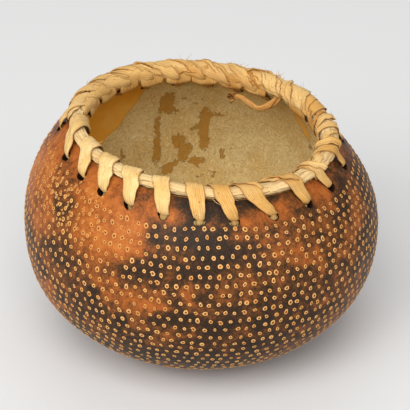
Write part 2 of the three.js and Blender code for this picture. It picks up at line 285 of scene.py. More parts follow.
@dataclass(frozen=True)
class GourdForm:
    """The gourd's outer form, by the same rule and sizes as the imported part's."""

    body_radius: float = 0.095
    lower_height: float = 0.0684
    lower_power: float = 2.16
    upper_height: float = 0.0748
    upper_power: float = 2.18
    standing_height: float = 0.066
    mouth_height: float = 0.0543
    lean_right: float = math.radians(3.5)
    lean_front: float = math.radians(1.5)
    lean_power: float = 1.3
    top_drift: float = -0.002
    base_drift: float = 0.0016
    cut_swing: float = 0.0037
    wall_at_mouth: float = 0.0052
    wall_at_base: float = 0.008
    edge_bevel: float = 0.0058
    hole_drop_front: float = 0.011
    hole_drop_sides: float = 0.0078
    hole_rise_back: float = 0.0034
    curve_steps: int = 4000

    @cached_property
    def meridian(self) -> dict[str, np.ndarray]:
        """The line up the wall from the middle of the base: lengths, radii, heights and slopes."""
        tilt = -math.pi / 2 + np.linspace(0, 0.86 * math.pi, self.curve_steps)
        power = np.where(tilt > 0, 2 / self.upper_power, 2 / self.lower_power)
        tall = np.where(tilt > 0, self.upper_height, self.lower_height)
        height = np.sign(tilt) * tall * np.abs(np.sin(tilt)) ** power
        radius = self.body_radius * np.cos(tilt) ** power
        length = np.concatenate([[0.0], np.cumsum(np.hypot(np.diff(radius), np.diff(height)))])
        out, up = np.gradient(radius, length), np.gradient(height, length)
        size = np.hypot(out, up)
        return {"length": length, "radius": radius, "height": height, "out": out / size, "up": up / size}

    @cached_property
    def mouth_length(self) -> float:
        """The length up the wall to the cut edge at the front."""
        return float(np.interp(self.mouth_height, self.meridian["height"], self.meridian["length"]))

    def edge(self, angle: np.ndarray | float) -> np.ndarray:
        """The length up the wall to the cut edge, at an angle in radians."""
        return self.mouth_length - self.cut_swing * np.cos(angle)

    def hole_drop(self, angle: np.ndarray | float) -> np.ndarray:
        """How far a lacing hole's middle lies below the cut edge."""
        sideways = np.cos(angle) ** 2
        back = np.maximum(np.sin(angle), 0) ** 2
        return (self.hole_drop_front + (self.hole_drop_sides - self.hole_drop_front) * sideways
                - self.hole_rise_back * back)

    def wall(self, length: np.ndarray | float) -> np.ndarray:
        """The wall's thickness at a length up it."""
        share = np.clip(length / self.mouth_length, 0, 1)
        return self.wall_at_base + (self.wall_at_mouth - self.wall_at_base) * share

    def point(self, angle: np.ndarray, length: np.ndarray, inset: np.ndarray | float = 0.0) -> np.ndarray:
        """Places points on the gourd.

        Args:
            angle: angles round the mouth, in radians.
            length: lengths up the wall.
            inset: depths under the outer skin.

        Returns:
            The points, with their coordinates on the last axis.
        """
        line = self.meridian
        at = {name: np.interp(length, line["length"], line[name])
              for name in ("radius", "height", "out", "up")}
        radius = np.maximum(at["radius"] - inset * at["up"], 0)
        rise = at["height"] + inset * at["out"]
        lifted = np.clip(rise / self.mouth_height, 0, 1.2) ** self.lean_power
        sunk = np.where(rise < 0, (rise / self.lower_height) ** 2, 0)
        x, y = radius * np.cos(angle), radius * np.sin(angle)
        lean = lifted * (y * math.tan(self.lean_front) - x * math.tan(self.lean_right))
        drift = lifted * self.top_drift + sunk * self.base_drift
        return np.stack([x + drift, y, np.maximum(rise + lean + self.standing_height, 0)], axis=-1)

    def normal(self, angle: np.ndarray, length: np.ndarray) -> np.ndarray:
        """The way straight out of the wall."""
        return unit(self.point(angle, length) - self.point(angle, length, 0.001))


def unit(vectors: np.ndarray) -> np.ndarray:
    """Scales vectors to length one."""
    return vectors / np.maximum(np.linalg.norm(vectors, axis=-1, keepdims=True), 1e-12)


@dataclass(frozen=True)
class Stain:
    """A soft-edged patch of colour on the wall, lighter or darker than what is round it."""

    angle: float
    height: float
    half_width: float
    half_tall: float
    turn: float
    strength: float

    def weight(self, points: np.ndarray) -> np.ndarray:
        """Measures how much of the stain reaches each point.

        Args:
            points: places on the wall.

        Returns:
            The stain's strength at its middle, falling to nothing at its outline.
        """
        angle = np.arctan2(points[:, 1], points[:, 0])
        away = (angle - math.radians(self.angle) + math.pi) % FULL_TURN - math.pi
        sideways = away * np.hypot(points[:, 0], points[:, 1])
        upwards = points[:, 2] - self.height
        turn = math.radians(self.turn)
        across = (sideways * math.cos(turn) + upwards * math.sin(turn)) / self.half_width
        along = (upwards * math.cos(turn) - sideways * math.sin(turn)) / self.half_tall
        return self.strength * np.clip(1 - across**2 - along**2, 0, 1)


def stained(points: np.ndarray, stains: Sequence[Stain]) -> np.ndarray:
    """Adds up what a set of stains does at each point."""
    return sum((stain.weight(points) for stain in stains), np.zeros(len(points)))


# Scorched patches (above 0) and bare orange ones (below 0) on the outside.
SKIN_STAINS = (
    Stain(206, 0.108, 0.040, 0.030, 0, -0.40), Stain(180, 0.106, 0.034, 0.030, 0, -0.55),
    Stain(236, 0.112, 0.034, 0.022, 0, -0.72), Stain(259, 0.1125, 0.014, 0.0045, -14, -0.70),
    Stain(228, 0.094, 0.040, 0.014, 0, -0.30), Stain(214, 0.099, 0.020, 0.012, 0, 0.55),
    Stain(220, 0.082, 0.030, 0.014, 0, 0.25), Stain(243, 0.098, 0.018, 0.012, 0, -0.45),
    Stain(280, 0.117, 0.030, 0.009, 0, 0.75), Stain(299, 0.119, 0.022, 0.008, 0, 0.60),
    Stain(290, 0.110, 0.012, 0.004, 0, -0.55), Stain(262, 0.092, 0.034, 0.012, 14, 0.85),
    Stain(266, 0.1045, 0.024, 0.0060, 0, 0.85), Stain(253, 0.1035, 0.007, 0.0050, 0, 0.6),
    Stain(286, 0.098, 0.030, 0.012, -6, 0.18), Stain(251, 0.0690, 0.024, 0.0065, -5, -0.50),
    Stain(246, 0.060, 0.014, 0.010, 0, -0.22), Stain(236, 0.062, 0.034, 0.020, 0, 0.20),
    Stain(258, 0.063, 0.024, 0.006, 0, 0.50), Stain(276, 0.062, 0.040, 0.012, 0, 0.50),
    Stain(300, 0.068, 0.044, 0.020, 0, 0.44), Stain(290, 0.044, 0.060, 0.020, 0, 0.46),
    Stain(206, 0.066, 0.044, 0.018, 0, 0.34), Stain(272, 0.032, 0.080, 0.020, 0, 0.30),
    Stain(357, 0.078, 0.028, 0.030, 0, 0.36), Stain(234, 0.071, 0.010, 0.008, 0, 0.45),
    Stain(234, 0.0704, 0.0024, 0.0024, 0, 2.4), Stain(236, 0.046, 0.044, 0.028, 0, 0.42),
    Stain(262, 0.030, 0.040, 0.016, 0, 0.30), Stain(324, 0.108, 0.011, 0.009, 0, -0.50),
    Stain(338, 0.104, 0.022, 0.008, 20, 0.42), Stain(344, 0.100, 0.016, 0.010, 30, -0.30),
    Stain(316, 0.088, 0.034, 0.012, 0, -0.06), Stain(302, 0.094, 0.016, 0.006, 0, -0.12),
    Stain(328, 0.052, 0.034, 0.016, 0, 0.20), Stain(345, 0.070, 0.036, 0.022, 0, 0.50),
    Stain(20, 0.090, 0.050, 0.024, 0, 0.40), Stain(60, 0.075, 0.050, 0.030, 10, -0.45),
    Stain(100, 0.095, 0.050, 0.022, 0, 0.50), Stain(140, 0.070, 0.050, 0.030, -12, 0.35),
    Stain(165, 0.095, 0.040, 0.020, 0, -0.45),
)

# The smooth golden patch and the places where the pith has flaked away inside.
GOLDEN_PATCH = (
    Stain(152, 0.108, 0.038, 0.031, 0, 3.0), Stain(122, 0.110, 0.0098, 0.0200, 4, 3.0),
    Stain(128, 0.0960, 0.0130, 0.0160, 0, 3.0), Stain(145, 0.0940, 0.024, 0.0165, 0, 3.0),
    Stain(133, 0.0830, 0.0100, 0.0085, 0, 3.0), Stain(143, 0.0800, 0.0120, 0.0052, 0, 3.0),
    Stain(122, 0.076, 0.0009, 0.016, 0, 1.2), Stain(47, 0.092, 0.0022, 0.012, -10, 2.4),
)
FLAKED_PITH = (
    Stain(103.5, 0.098, 0.0062, 0.012, 8, 0.95), Stain(100.6, 0.090, 0.0056, 0.0045, 0, 0.55),
    Stain(106.6, 0.078, 0.0034, 0.017, 0, 0.72), Stain(107, 0.062, 0.0040, 0.011, 0, 0.78),
    Stain(103.4, 0.052, 0.0080, 0.0048, -34, 0.85), Stain(88.4, 0.084, 0.0046, 0.011, 6, 0.95),
    Stain(89, 0.071, 0.0046, 0.012, 0, 0.9), Stain(83.6, 0.087, 0.0044, 0.0034, 0, 0.7),
    Stain(92.8, 0.077, 0.0034, 0.007, 34, 0.6), Stain(98.6, 0.069, 0.0058, 0.007, 0, 0.85),
    Stain(96.4, 0.061, 0.0044, 0.010, 36, 0.85), Stain(92, 0.0555, 0.0080, 0.0044, 0, 0.85),
    Stain(82.2, 0.060, 0.0026, 0.007, 0, 0.65), Stain(85.4, 0.0485, 0.0026, 0.003, 0, 0.6),
    Stain(91, 0.047, 0.0030, 0.002, 0, 0.6), Stain(121, 0.064, 0.0022, 0.009, 0, 0.6),
    Stain(122, 0.086, 0.0014, 0.008, 0, 0.42), Stain(96, 0.099, 0.0045, 0.0025, 0, 0.55),
    Stain(92, 0.095, 0.0040, 0.003, 0, 0.5), Stain(89, 0.099, 0.0030, 0.0022, 0, 0.5),
    Stain(46, 0.077, 0.0020, 0.007, 0, 0.6),
)


@dataclass(frozen=True)
class SkinFinish:
    """Orange-brown gourd skin, scorched dark in patches and rubbed to a satin polish."""

    bright: Colour = paint(188, 112, 50)
    orange: Colour = paint(166, 90, 38)
    rust: Colour = paint(136, 76, 34)
    brown: Colour = paint(104, 62, 31)
    soot: Colour = paint(68, 45, 27)
    char: Colour = paint(42, 34, 27)
    roughness: float = 0.42

    def scorch(self, shader: Shader) -> Sock:
        """Works out how scorched the skin is, from 0, bare orange, to 1, charred."""
        broad = shader.grain(34.0, 9.0, 0.66, 0.7)
        cloud = shader.grain(120.0, 7.0, 0.7, 0.4)
        speck = shader.grain(800.0, 4.0, 0.7)
        return (shader.attribute("stain") * 0.42 + (broad - 0.5) * 1.2 + (cloud - 0.5) * 1.35
                + (speck - 0.5) * 0.7 + 0.52)

    def colour(self, shader: Shader, scorch: Sock) -> Sock:
        """Paints the skin.

        Args:
            shader: the material in the making.
            scorch: how scorched the skin is.

        Returns:
            The skin's colour.
        """
        base = shader.ramp(scorch, (
            (0.0, self.bright), (0.26, self.orange), (0.42, self.rust), (0.54, self.brown),
            (0.66, self.soot), (0.86, self.char)))
        fleck = shader.grain(1500.0, 3.0, 0.7)
        flecked = shader.mix(fleck.between(0.54, 0.7) * 0.45, base, self.rust)
        scuffs = shader.grain(420.0, 6.0, 0.75, 2.0).between(0.55, 0.68)
        scuffed = shader.mix(scuffs * 0.4, flecked, self.brown)
        return shader.mix(fleck.between(0.47, 0.32) * 0.5, scuffed, self.char)

    def build(self) -> bpy.types.Material:
        """Makes the skin's material."""
        shader = Shader("gourd_skin_outside")
        height = shader.grain(300.0, 4.0) + shader.grain(60.0, 2.0) * 2.0
        return shader.finish({
            "Base Color": self.colour(shader, self.scorch(shader)),
            "Roughness": shader.grain(120.0, 3.0) * 0.16 + (self.roughness - 0.08),
            "Normal": shader.relief(height, 0.0004, 0.5),
            "Specular IOR Level": 0.09,
        })


@dataclass(frozen=True)
class PrickFinish:
    """The pricked marks: a pale raised lip round a dark pit, running out into the skin. The pit's dark brown
    is partly its own colour and partly painted shade of a depth that the shallow mesh lacks.
    """

    skin: SkinFinish
    lip: Colour = paint(224, 174, 106)
    warm_lip: Colour = paint(208, 150, 82)
    bare_lip: Colour = paint(200, 138, 68)
    # The cup and pit colours are partly the pit's own brown and partly painted shade of its depth.
    cup: Colour = paint(172, 102, 44)
    pit: Colour = paint(112, 62, 26)

    def build(self) -> bpy.types.Material:
        """Makes the marks' material."""
        shader = Shader("gourd_pricks")
        rise = shader.attribute("rise")
        tone = shader.attribute("tone")
        scorch = self.skin.scorch(shader)
        pale = shader.mix(tone.between(0.2, 1.0), self.lip, self.warm_lip)
        lip = shader.mix(scorch.between(0.56, 0.34) * 0.8, pale, self.bare_lip)
        # Painted shade: towards the mark's lowest point the cup darkens to the pit colour.
        cup = shader.mix(rise.between(0.08, 0.45), self.pit, self.cup)
        inner = shader.mix(rise.between(0.35, 0.85), cup, lip)
        ring = shader.attribute("foot").between(0.3, 0.8)
        return shader.finish({
            "Base Color": shader.mix(ring, inner, self.skin.colour(shader, scorch)),
            "Roughness": 0.55,
            "Specular IOR Level": 0.15,
        })


@dataclass(frozen=True)
class PithFinish:
    """The bowl's cream pith: felted fibres, a smooth golden patch and brown flaked places."""

    cream: Colour = paint(252, 226, 160)
    tan: Colour = paint(238, 200, 124)
    fibre: Colour = paint(255, 240, 190)
    dent: Colour = paint(204, 158, 88)
    gold: Colour = paint(226, 158, 46)
    pale_gold: Colour = paint(232, 174, 78)
    flaked: Colour = paint(200, 142, 50)

    def build(self) -> bpy.types.Material:
        """Makes the pith's material."""
        shader = Shader("gourd_pith")
        blotch = shader.grain(38.0, 6.0, 0.6, 0.4)
        felt = shader.grain(620.0, 5.0, 0.72, 1.6)
        strands = shader.grain(210.0, 7.0, 0.72, 5.0)
        base = shader.mix(blotch.between(0.34, 0.68), self.cream, self.tan)
        dented = shader.mix(felt.between(0.51, 0.62) * 0.72, base, self.dent)
        stranded = shader.mix(strands.between(0.53, 0.60) * 0.75, dented, self.fibre)
        pitted = shader.mix(strands.between(0.46, 0.38) * 0.5, stranded, self.dent)
        ragged = (shader.grain(330.0, 9.0, 0.76, 0.35) - 0.5) * 2.3
        patch = (shader.attribute("golden") * (ragged * 1.3 + 1.0)).between(0.45, 0.6)
        flake = (shader.attribute("flake") + ragged).between(0.47, 0.51)
        gold = shader.mix(blotch.between(0.4, 0.7), self.gold, self.pale_gold)
        colour = shader.mix(patch, pitted, gold)
        rough_height = felt * 0.8 + strands * 1.6 + shader.grain(1300.0, 3.0) * 0.3
        height = rough_height * (1 - patch * 0.85) - flake * 0.8 - patch * 0.5
        return shader.finish({
            "Base Color": shader.mix(flake * 0.88, colour, self.flaked),
            "Roughness": 0.78 - patch * 0.22,
            "Normal": shader.relief(height, 0.0011, 0.9),
            "Specular IOR Level": 0.12,
        })


@dataclass(frozen=True)
class CutEdgeFinish:
    """The sawn edge of the wall, or the charred sides of the lacing holes."""

    name: str
    light: Colour
    dark: Colour

    def build(self) -> bpy.types.Material:
        """Makes the cut edge's material."""
        shader = Shader(self.name)
        grain = shader.grain(260.0, 5.0, 0.65, 1.0)
        return shader.finish({
            "Base Color": shader.mix(grain.between(0.35, 0.7), self.light, self.dark),
            "Roughness": 0.8,
            "Normal": shader.relief(grain, 0.0005, 0.6),
            "Specular IOR Level": 0.05,
        })


SAWN_EDGE = CutEdgeFinish("gourd_sawn_edge", paint(172, 122, 68), paint(104, 66, 34))
BURNT_HOLE = CutEdgeFinish("gourd_burnt_hole", paint(52, 34, 20), paint(24, 16, 10))


@dataclass(frozen=True)
class LeafFinish:
    """Dried leaf with fine lengthwise veins, darker edges and blotches, and painted shade where it is pinched
    into a hole.
    """

    name: str
    body: Colour
    shade: Colour
    vein: Colour
    edge: Colour
    amber: Colour = paint(184, 124, 48)
    vein_gap: float = 0.0011
    vein_share: float = 0.5

    def build(self) -> bpy.types.Material:
        """Makes the leaf's material."""
        shader = Shader(self.name)
        across, along = shader.attribute("across"), shader.attribute("along")
        drift = shader.grain(55.0, 3.0, 0.5, 0.0, shader.vector(along, across, 0.0))
        lane = across + (drift - 0.5) * 0.0016
        lines = (lane * (FULL_TURN / self.vein_gap)).wave() * 0.5 + 0.5
        streak = shader.grain(1.0, 4.0, 0.6, 0.0, shader.vector(lane * 1500.0, along * 45.0, 2.0))
        blotch = shader.grain(75.0, 5.0, 0.6, 0.5)
        tinted = shader.mix(shader.attribute("tint"), self.body, self.amber)
        base = shader.mix(blotch.between(0.36, 0.7), tinted, self.shade)
        streaked = shader.mix(streak.between(0.44, 0.68) * 0.75, base, self.shade)
        thread = shader.grain(1.0, 3.0, 0.7, 0.0, shader.vector(lane * 3200.0, along * 70.0, 7.0))
        threaded = shader.mix(thread.between(0.56, 0.68) * 0.6, streaked, self.vein)
        veined = shader.mix(
            lines.power(6.0) * streak.between(0.3, 0.6) * self.vein_share, threaded, self.vein)
        edged = shader.mix(shader.attribute("rim").between(0.86, 1.0) * 0.55, veined, self.edge)
        dirt = shader.grain(420.0, 5.0, 0.75, 1.5).between(0.60, 0.66) * 0.8
        # Painted shade: the leaf darkens towards its edge colour where it is pinched into a hole; the dirt
        # specks below are real.
        gathered = shader.attribute("pinch").between(0.35, 1.0) * 0.3
        height = streak * 0.9 - lines.power(4.0) * 0.5 - thread * 0.6 + shader.grain(900.0, 3.0) * 0.2
        return shader.finish({
            "Base Color": shader.mix(dirt + gathered, edged, self.edge),
            "Roughness": blotch * 0.2 + 0.5,
            "Normal": shader.relief(height, 0.0003, 0.7),
            "Specular IOR Level": 0.15,
        })


PALE_LEAF = LeafFinish("leaf_pale_finish", paint(244, 212, 150), paint(220, 178, 108),
                       paint(160, 108, 50), paint(132, 84, 36), vein_share=0.25)
TAN_LEAF = LeafFinish("leaf_tan_finish", paint(240, 202, 134), paint(212, 160, 84),
                      paint(150, 96, 40), paint(128, 78, 32), vein_share=0.5)
CORE_LEAF = LeafFinish("leaf_core_finish", paint(236, 208, 154), paint(214, 178, 120),
                       paint(180, 134, 78), paint(150, 104, 54), vein_gap=0.0019, vein_share=0.5)
# The pale strip's leaf where it rolls down into a hole, painted darker and duller: painted shade of the hole.
SHADED_HOLE_LEAF = LeafFinish("leaf_in_hole_finish", paint(176, 142, 88), paint(150, 112, 62),
                      paint(92, 60, 28), paint(80, 50, 24))
LOOSE_LEAF = LeafFinish("leaf_loose_finish", paint(232, 188, 116), paint(184, 122, 56),
                        paint(110, 66, 26), paint(96, 56, 24), vein_gap=0.0007, vein_share=0.8)
KNOT_LEAF = LeafFinish("leaf_knot_finish", paint(184, 128, 62), paint(136, 84, 38),
                       paint(84, 50, 22), paint(66, 38, 18))


def make_object(name: str, points: np.ndarray, faces: Sequence[Sequence[int]],
                values: dict[str, np.ndarray] | None = None) -> bpy.types.Object:
    """Makes a shown object at the origin from plain arrays.

    Args:
        name: the piece's name.
        points: its vertices, in the part's frame.
        faces: its faces, turned outwards.
        values: numbers or vectors that its points carry.

    Returns:
        The object, smooth-shaded.
    """
    mesh = bpy.data.meshes.new(name)
    mesh.from_pydata(points.tolist(), [], [list(face) for face in faces])
    for label, numbers in (values or {}).items():
        add_values(mesh, label, numbers)
    if mesh.polygons:
        mesh.polygons.foreach_set("use_smooth", [True] * len(mesh.polygons))
    mesh.update()
    made = bpy.data.objects.new(name, mesh)
    bpy.context.scene.collection.objects.link(made)
    return made


def add_values(mesh: bpy.types.Mesh, label: str, numbers: np.ndarray) -> None:
    """Stores a number or a vector for each of a mesh's points."""
    flat = numbers.ndim == 1
    layer = mesh.attributes.new(label, "FLOAT" if flat else "FLOAT_VECTOR", "POINT")
    layer.data.foreach_set("value" if flat else "vector", numbers.astype(np.float32).ravel())


def mesh_points(mesh: bpy.types.Mesh) -> np.ndarray:
    """Reads a mesh's vertices."""
    flat = np.empty(len(mesh.vertices) * 3)
    mesh.vertices.foreach_get("co", flat)
    return flat.reshape(-1, 3)


def settle(made: bpy.types.Object) -> None:
    """Turns an object's modifiers into a plain mesh and removes them."""
    shaped = made.evaluated_get(bpy.context.evaluated_depsgraph_get())
    plain = bpy.data.meshes.new_from_object(shaped)
    made.modifiers.clear()
    made.data = plain


def declare(made: bpy.types.Object, slot: str, *nodes: str) -> None:
    """Attaches a finished piece to the body that it rides on, hides the CAD nodes that it stands for and logs
    its slot.
    """
    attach(made, ROOT)
    if nodes:
        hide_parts(*nodes)
    LOG.info("%s: %d faces, slot %s", made.name, len(made.data.polygons), slot)


def ring_faces(rows: int, columns: int, first: int = 0, loop: bool = True) -> list[tuple[int, ...]]:
    """Joins rows of points into quads.

    Args:
        rows: how many rows there are.
        columns: points in each.
        first: the first point's number.
        loop: whether each row closes on itself.

    Returns:
        The quads, turned the way that along-the-row crosses to-the-next-row points.
    """
    faces = []
    for row in range(rows - 1):
        here = first + row * columns
        for column in range(columns if loop else columns - 1):
            after = (column + 1) % columns
            faces.append((here + column, here + after, here + columns + after, here + columns + column))
    return faces


class NodesGroup(Graph):
    """A Geometry Nodes group with named inputs, used once on one object."""

    def __init__(self, name: str) -> None:
        """Makes the group with its geometry in and out."""
        group = bpy.data.node_groups.new(name, "GeometryNodeTree")
        super().__init__(group)
        for way in ("INPUT", "OUTPUT"):
            group.interface.new_socket(name="Geometry", in_out=way, socket_type="NodeSocketGeometry")
        self.source = self.node("NodeGroupInput")
        self.settings: dict[str, object] = {}

    def input(self, name: str, kind: str, value: object) -> Sock:
        """Adds a named input.

        Args:
            name: what it is called.
            kind: its socket type after NodeSocket, such as Float.
            value: what the modifier sets it to.

        Returns:
            The socket to read it from.
        """
        socket = self.tree.interface.new_socket(name=name, in_out="INPUT", socket_type=f"NodeSocket{kind}")
        self.settings[socket.identifier] = value
        return self.source[name]

    def carried(self, name: str, kind: str = "FLOAT") -> Sock:
        """Reads a value that the points carry."""
        return self.node("GeometryNodeInputNamedAttribute", {"data_type": kind}, {"Name": name})["Attribute"]

    def random(self, low: Term, high: Term, seed: Term) -> Sock:
        """Gives each point a number of its own between two limits."""
        values = {"Min": low, "Max": high, "Seed": seed}
        return self.node("FunctionNodeRandomValue", {"data_type": "FLOAT"}, values)["Value"]

    def apply(self, made: bpy.types.Object, shape: Sock, material: bpy.types.Material) -> None:
        """Ends the group and turns its result into the object's plain mesh.

        Args:
            made: the object that carries the points.
            shape: the geometry to end on.
            material: what it is made of.
        """
        finish = self.input("Material", "Material", material)
        real = self.node("GeometryNodeRealizeInstances", {}, {"Geometry": shape})["Geometry"]
        dressed = self.node("GeometryNodeSetMaterial", {}, {"Geometry": real, "Material": finish})["Geometry"]
        self.node("NodeGroupOutput", {}, {"Geometry": dressed})
        modifier = made.modifiers.new(self.tree.name, "NODES")
        modifier.node_group = self.tree
        for identifier, value in self.settings.items():
            modifier[identifier] = value
        settle(made)
        made.data.materials.clear()
        made.data.materials.append(material)
        made.data.polygons.foreach_set("use_smooth", [True] * len(made.data.polygons))


@dataclass
class GourdWall:
    """The gourd's wall: pricked skin outside, sawn edge and pith inside, drilled for the lacing."""

    form: GourdForm
    hole_angles: Sequence[float]
    columns: int = 300
    outer_rows: int = 146
    bevel_rows: int = 4
    inner_rows: int = 84
    hole_radius: float = 0.003
    hole_sides: int = 20
    swell: float = 0.00035

    def skin_offset(self, points: np.ndarray) -> np.ndarray:
        """How far the skin swells in or out of the even form at each point."""
        return np.array([noise.noise(Vector(point) * 34.0) for point in points]) * self.swell

    def outside(self, angle: np.ndarray, length: np.ndarray) -> np.ndarray:
        """Places points on the uneven skin."""
        even = self.form.point(angle, length)
        offset = self.skin_offset(even.reshape(-1, 3)).reshape(even.shape[:-1])
        uneven = even + self.form.normal(angle, length) * offset[..., None]
        uneven[..., 2] = np.maximum(uneven[..., 2], 0)
        return uneven

    def rows(self) -> np.ndarray:
        """Places the rows of the wall, from the middle of the base up, over the edge and down inside."""
        form = self.form
        angle = np.linspace(0, FULL_TURN, self.columns, endpoint=False)
        edge = form.edge(angle)
        outer_share = np.linspace(0, 1, self.outer_rows + 1)[1:, None]
        outer = self.outside(np.broadcast_to(angle, (self.outer_rows, self.columns)), outer_share * edge)
        inner_edge = edge + form.edge_bevel
        bevel = []
        for step in range(1, self.bevel_rows):
            share = step / self.bevel_rows
            length = edge + share * form.edge_bevel
            bevel.append(form.point(angle, length, share * form.wall(inner_edge)))
        inner_share = np.sin(np.linspace(math.pi / 2, 0, self.inner_rows, endpoint=False))[:, None]
        length = inner_share * inner_edge
        inner = form.point(np.broadcast_to(angle, length.shape), length, form.wall(length))
        uneven = np.array([
            noise.fractal(Vector(point) * 90.0, 1.0, 2.0, 4) for point in inner.reshape(-1, 3)])
        inner[..., :2] *= 1 + 0.0042 * uneven.reshape(inner.shape[:-1])[..., None]
        return np.concatenate([outer, np.array(bevel), inner])

    def hole_soot(self, points: np.ndarray) -> np.ndarray:
        """Darkens the skin round the lacing holes, which were burnt through."""
        form, soot = self.form, np.zeros(len(points))
        for degrees in self.hole_angles:
            angle = np.array(math.radians(degrees))
            length = form.edge(angle) - form.hole_drop(angle) - 0.0006
            away = np.linalg.norm(points - form.point(angle, length), axis=-1) / (self.hole_radius * 1.6)
            soot = np.maximum(soot, 0.35 * np.clip(1 - away**2, 0, 1))
        return soot

    def drills(self) -> bpy.types.Object:
        """Makes the bars that cut the lacing holes."""
        points, faces = [], []
        form = self.form
        for number, degrees in enumerate(self.hole_angles):
            angle = np.array(math.radians(degrees))
            length = form.edge(angle) - form.hole_drop(angle)
            way = Vector(form.normal(angle, length))
            middle = Vector(form.point(angle, length, form.wall_at_mouth / 2))
            side = way.cross(Vector((0, 0, 1))).normalized()
            up = side.cross(way)
            first = len(points)
            for reach in (-2.2, 2.2):
                for corner in range(self.hole_sides):
                    turn = FULL_TURN * corner / self.hole_sides
                    lobes = 0.07 * math.sin(3 * turn + number) + 0.05 * math.sin(2 * turn - number)
                    size = self.hole_radius * (1 + lobes)
                    spot = middle + way * reach * form.wall_at_mouth
                    points.append(spot + side * size * math.cos(turn) + up * size * math.sin(turn))
            lower = list(range(first, first + self.hole_sides))
            upper = [corner + self.hole_sides for corner in lower]
            faces.append(tuple(lower))
            faces.append(tuple(reversed(upper)))
            for here in range(self.hole_sides):
                after = (here + 1) % self.hole_sides
                faces.append((lower[after], lower[here], upper[here], upper[after]))
        return make_object("drills", np.array([tuple(point) for point in points]), faces)

    def build(self) -> bpy.types.Object:
        """Builds the wall.

        Returns:
            The finished piece.
        """
        rows = self.rows()
        count = len(rows)
        form = self.form
        foot = form.point(np.array(0.0), np.array(0.0))
        floor = form.point(np.array(0.0), np.array(0.0), form.wall_at_base)
        points = np.concatenate([rows.reshape(-1, 3), [foot, floor]])
        faces = ring_faces(count, self.columns)
        last = (count - 1) * self.columns
        for column in range(self.columns):
            after = (column + 1) % self.columns
            faces.append((count * self.columns, after, column))
            faces.append((last + column, last + after, count * self.columns + 1))
        wall = make_object("gourd_wall", points, faces)
        finishes = (SkinFinish().build(), SAWN_EDGE.build(), PithFinish().build(), BURNT_HOLE.build())
        for finish in finishes:
            wall.data.materials.append(finish)
        zone = np.full(len(faces), 0, dtype=np.int32)
        zone[(self.outer_rows - 1) * self.columns:] = 1
        zone[(self.outer_rows + self.bevel_rows - 2) * self.columns:] = 2
        zone[(count - 1) * self.columns::2] = 0
        wall.data.polygons.foreach_set("material_index", zone)
        drills = self.drills()
        for finish in finishes:
            drills.data.materials.append(finish)
        drills.data.polygons.foreach_set("material_index", [len(finishes) - 1] * len(drills.data.polygons))
        cut = wall.modifiers.new("holes", "BOOLEAN")
        cut.operation, cut.solver, cut.object = "DIFFERENCE", "EXACT", drills
        cut.material_mode = "INDEX"
        settle(wall)
        bpy.data.objects.remove(drills)
        wall.data.set_sharp_from_angle(angle=math.radians(50))
        places = mesh_points(wall.data)
        add_values(wall.data, "stain", stained(places, SKIN_STAINS) + self.hole_soot(places))
        add_values(wall.data, "golden", stained(places, GOLDEN_PATCH))
        add_values(wall.data, "flake", stained(places, FLAKED_PITH))
        declare(wall, "gourd_skin", "gourd_shell")
        return wall


class MarkShape(Enum):
    """The forms that a pricked mark takes: how its pit is drawn out, opened or filled."""

    RING = "ring"
    CORNERED = "cornered"
    BROAD = "broad"
    DROP = "drop"
    TEAR = "tear"
    OPEN = "open"
    FILLED = "filled"
    SLIT = "slit"


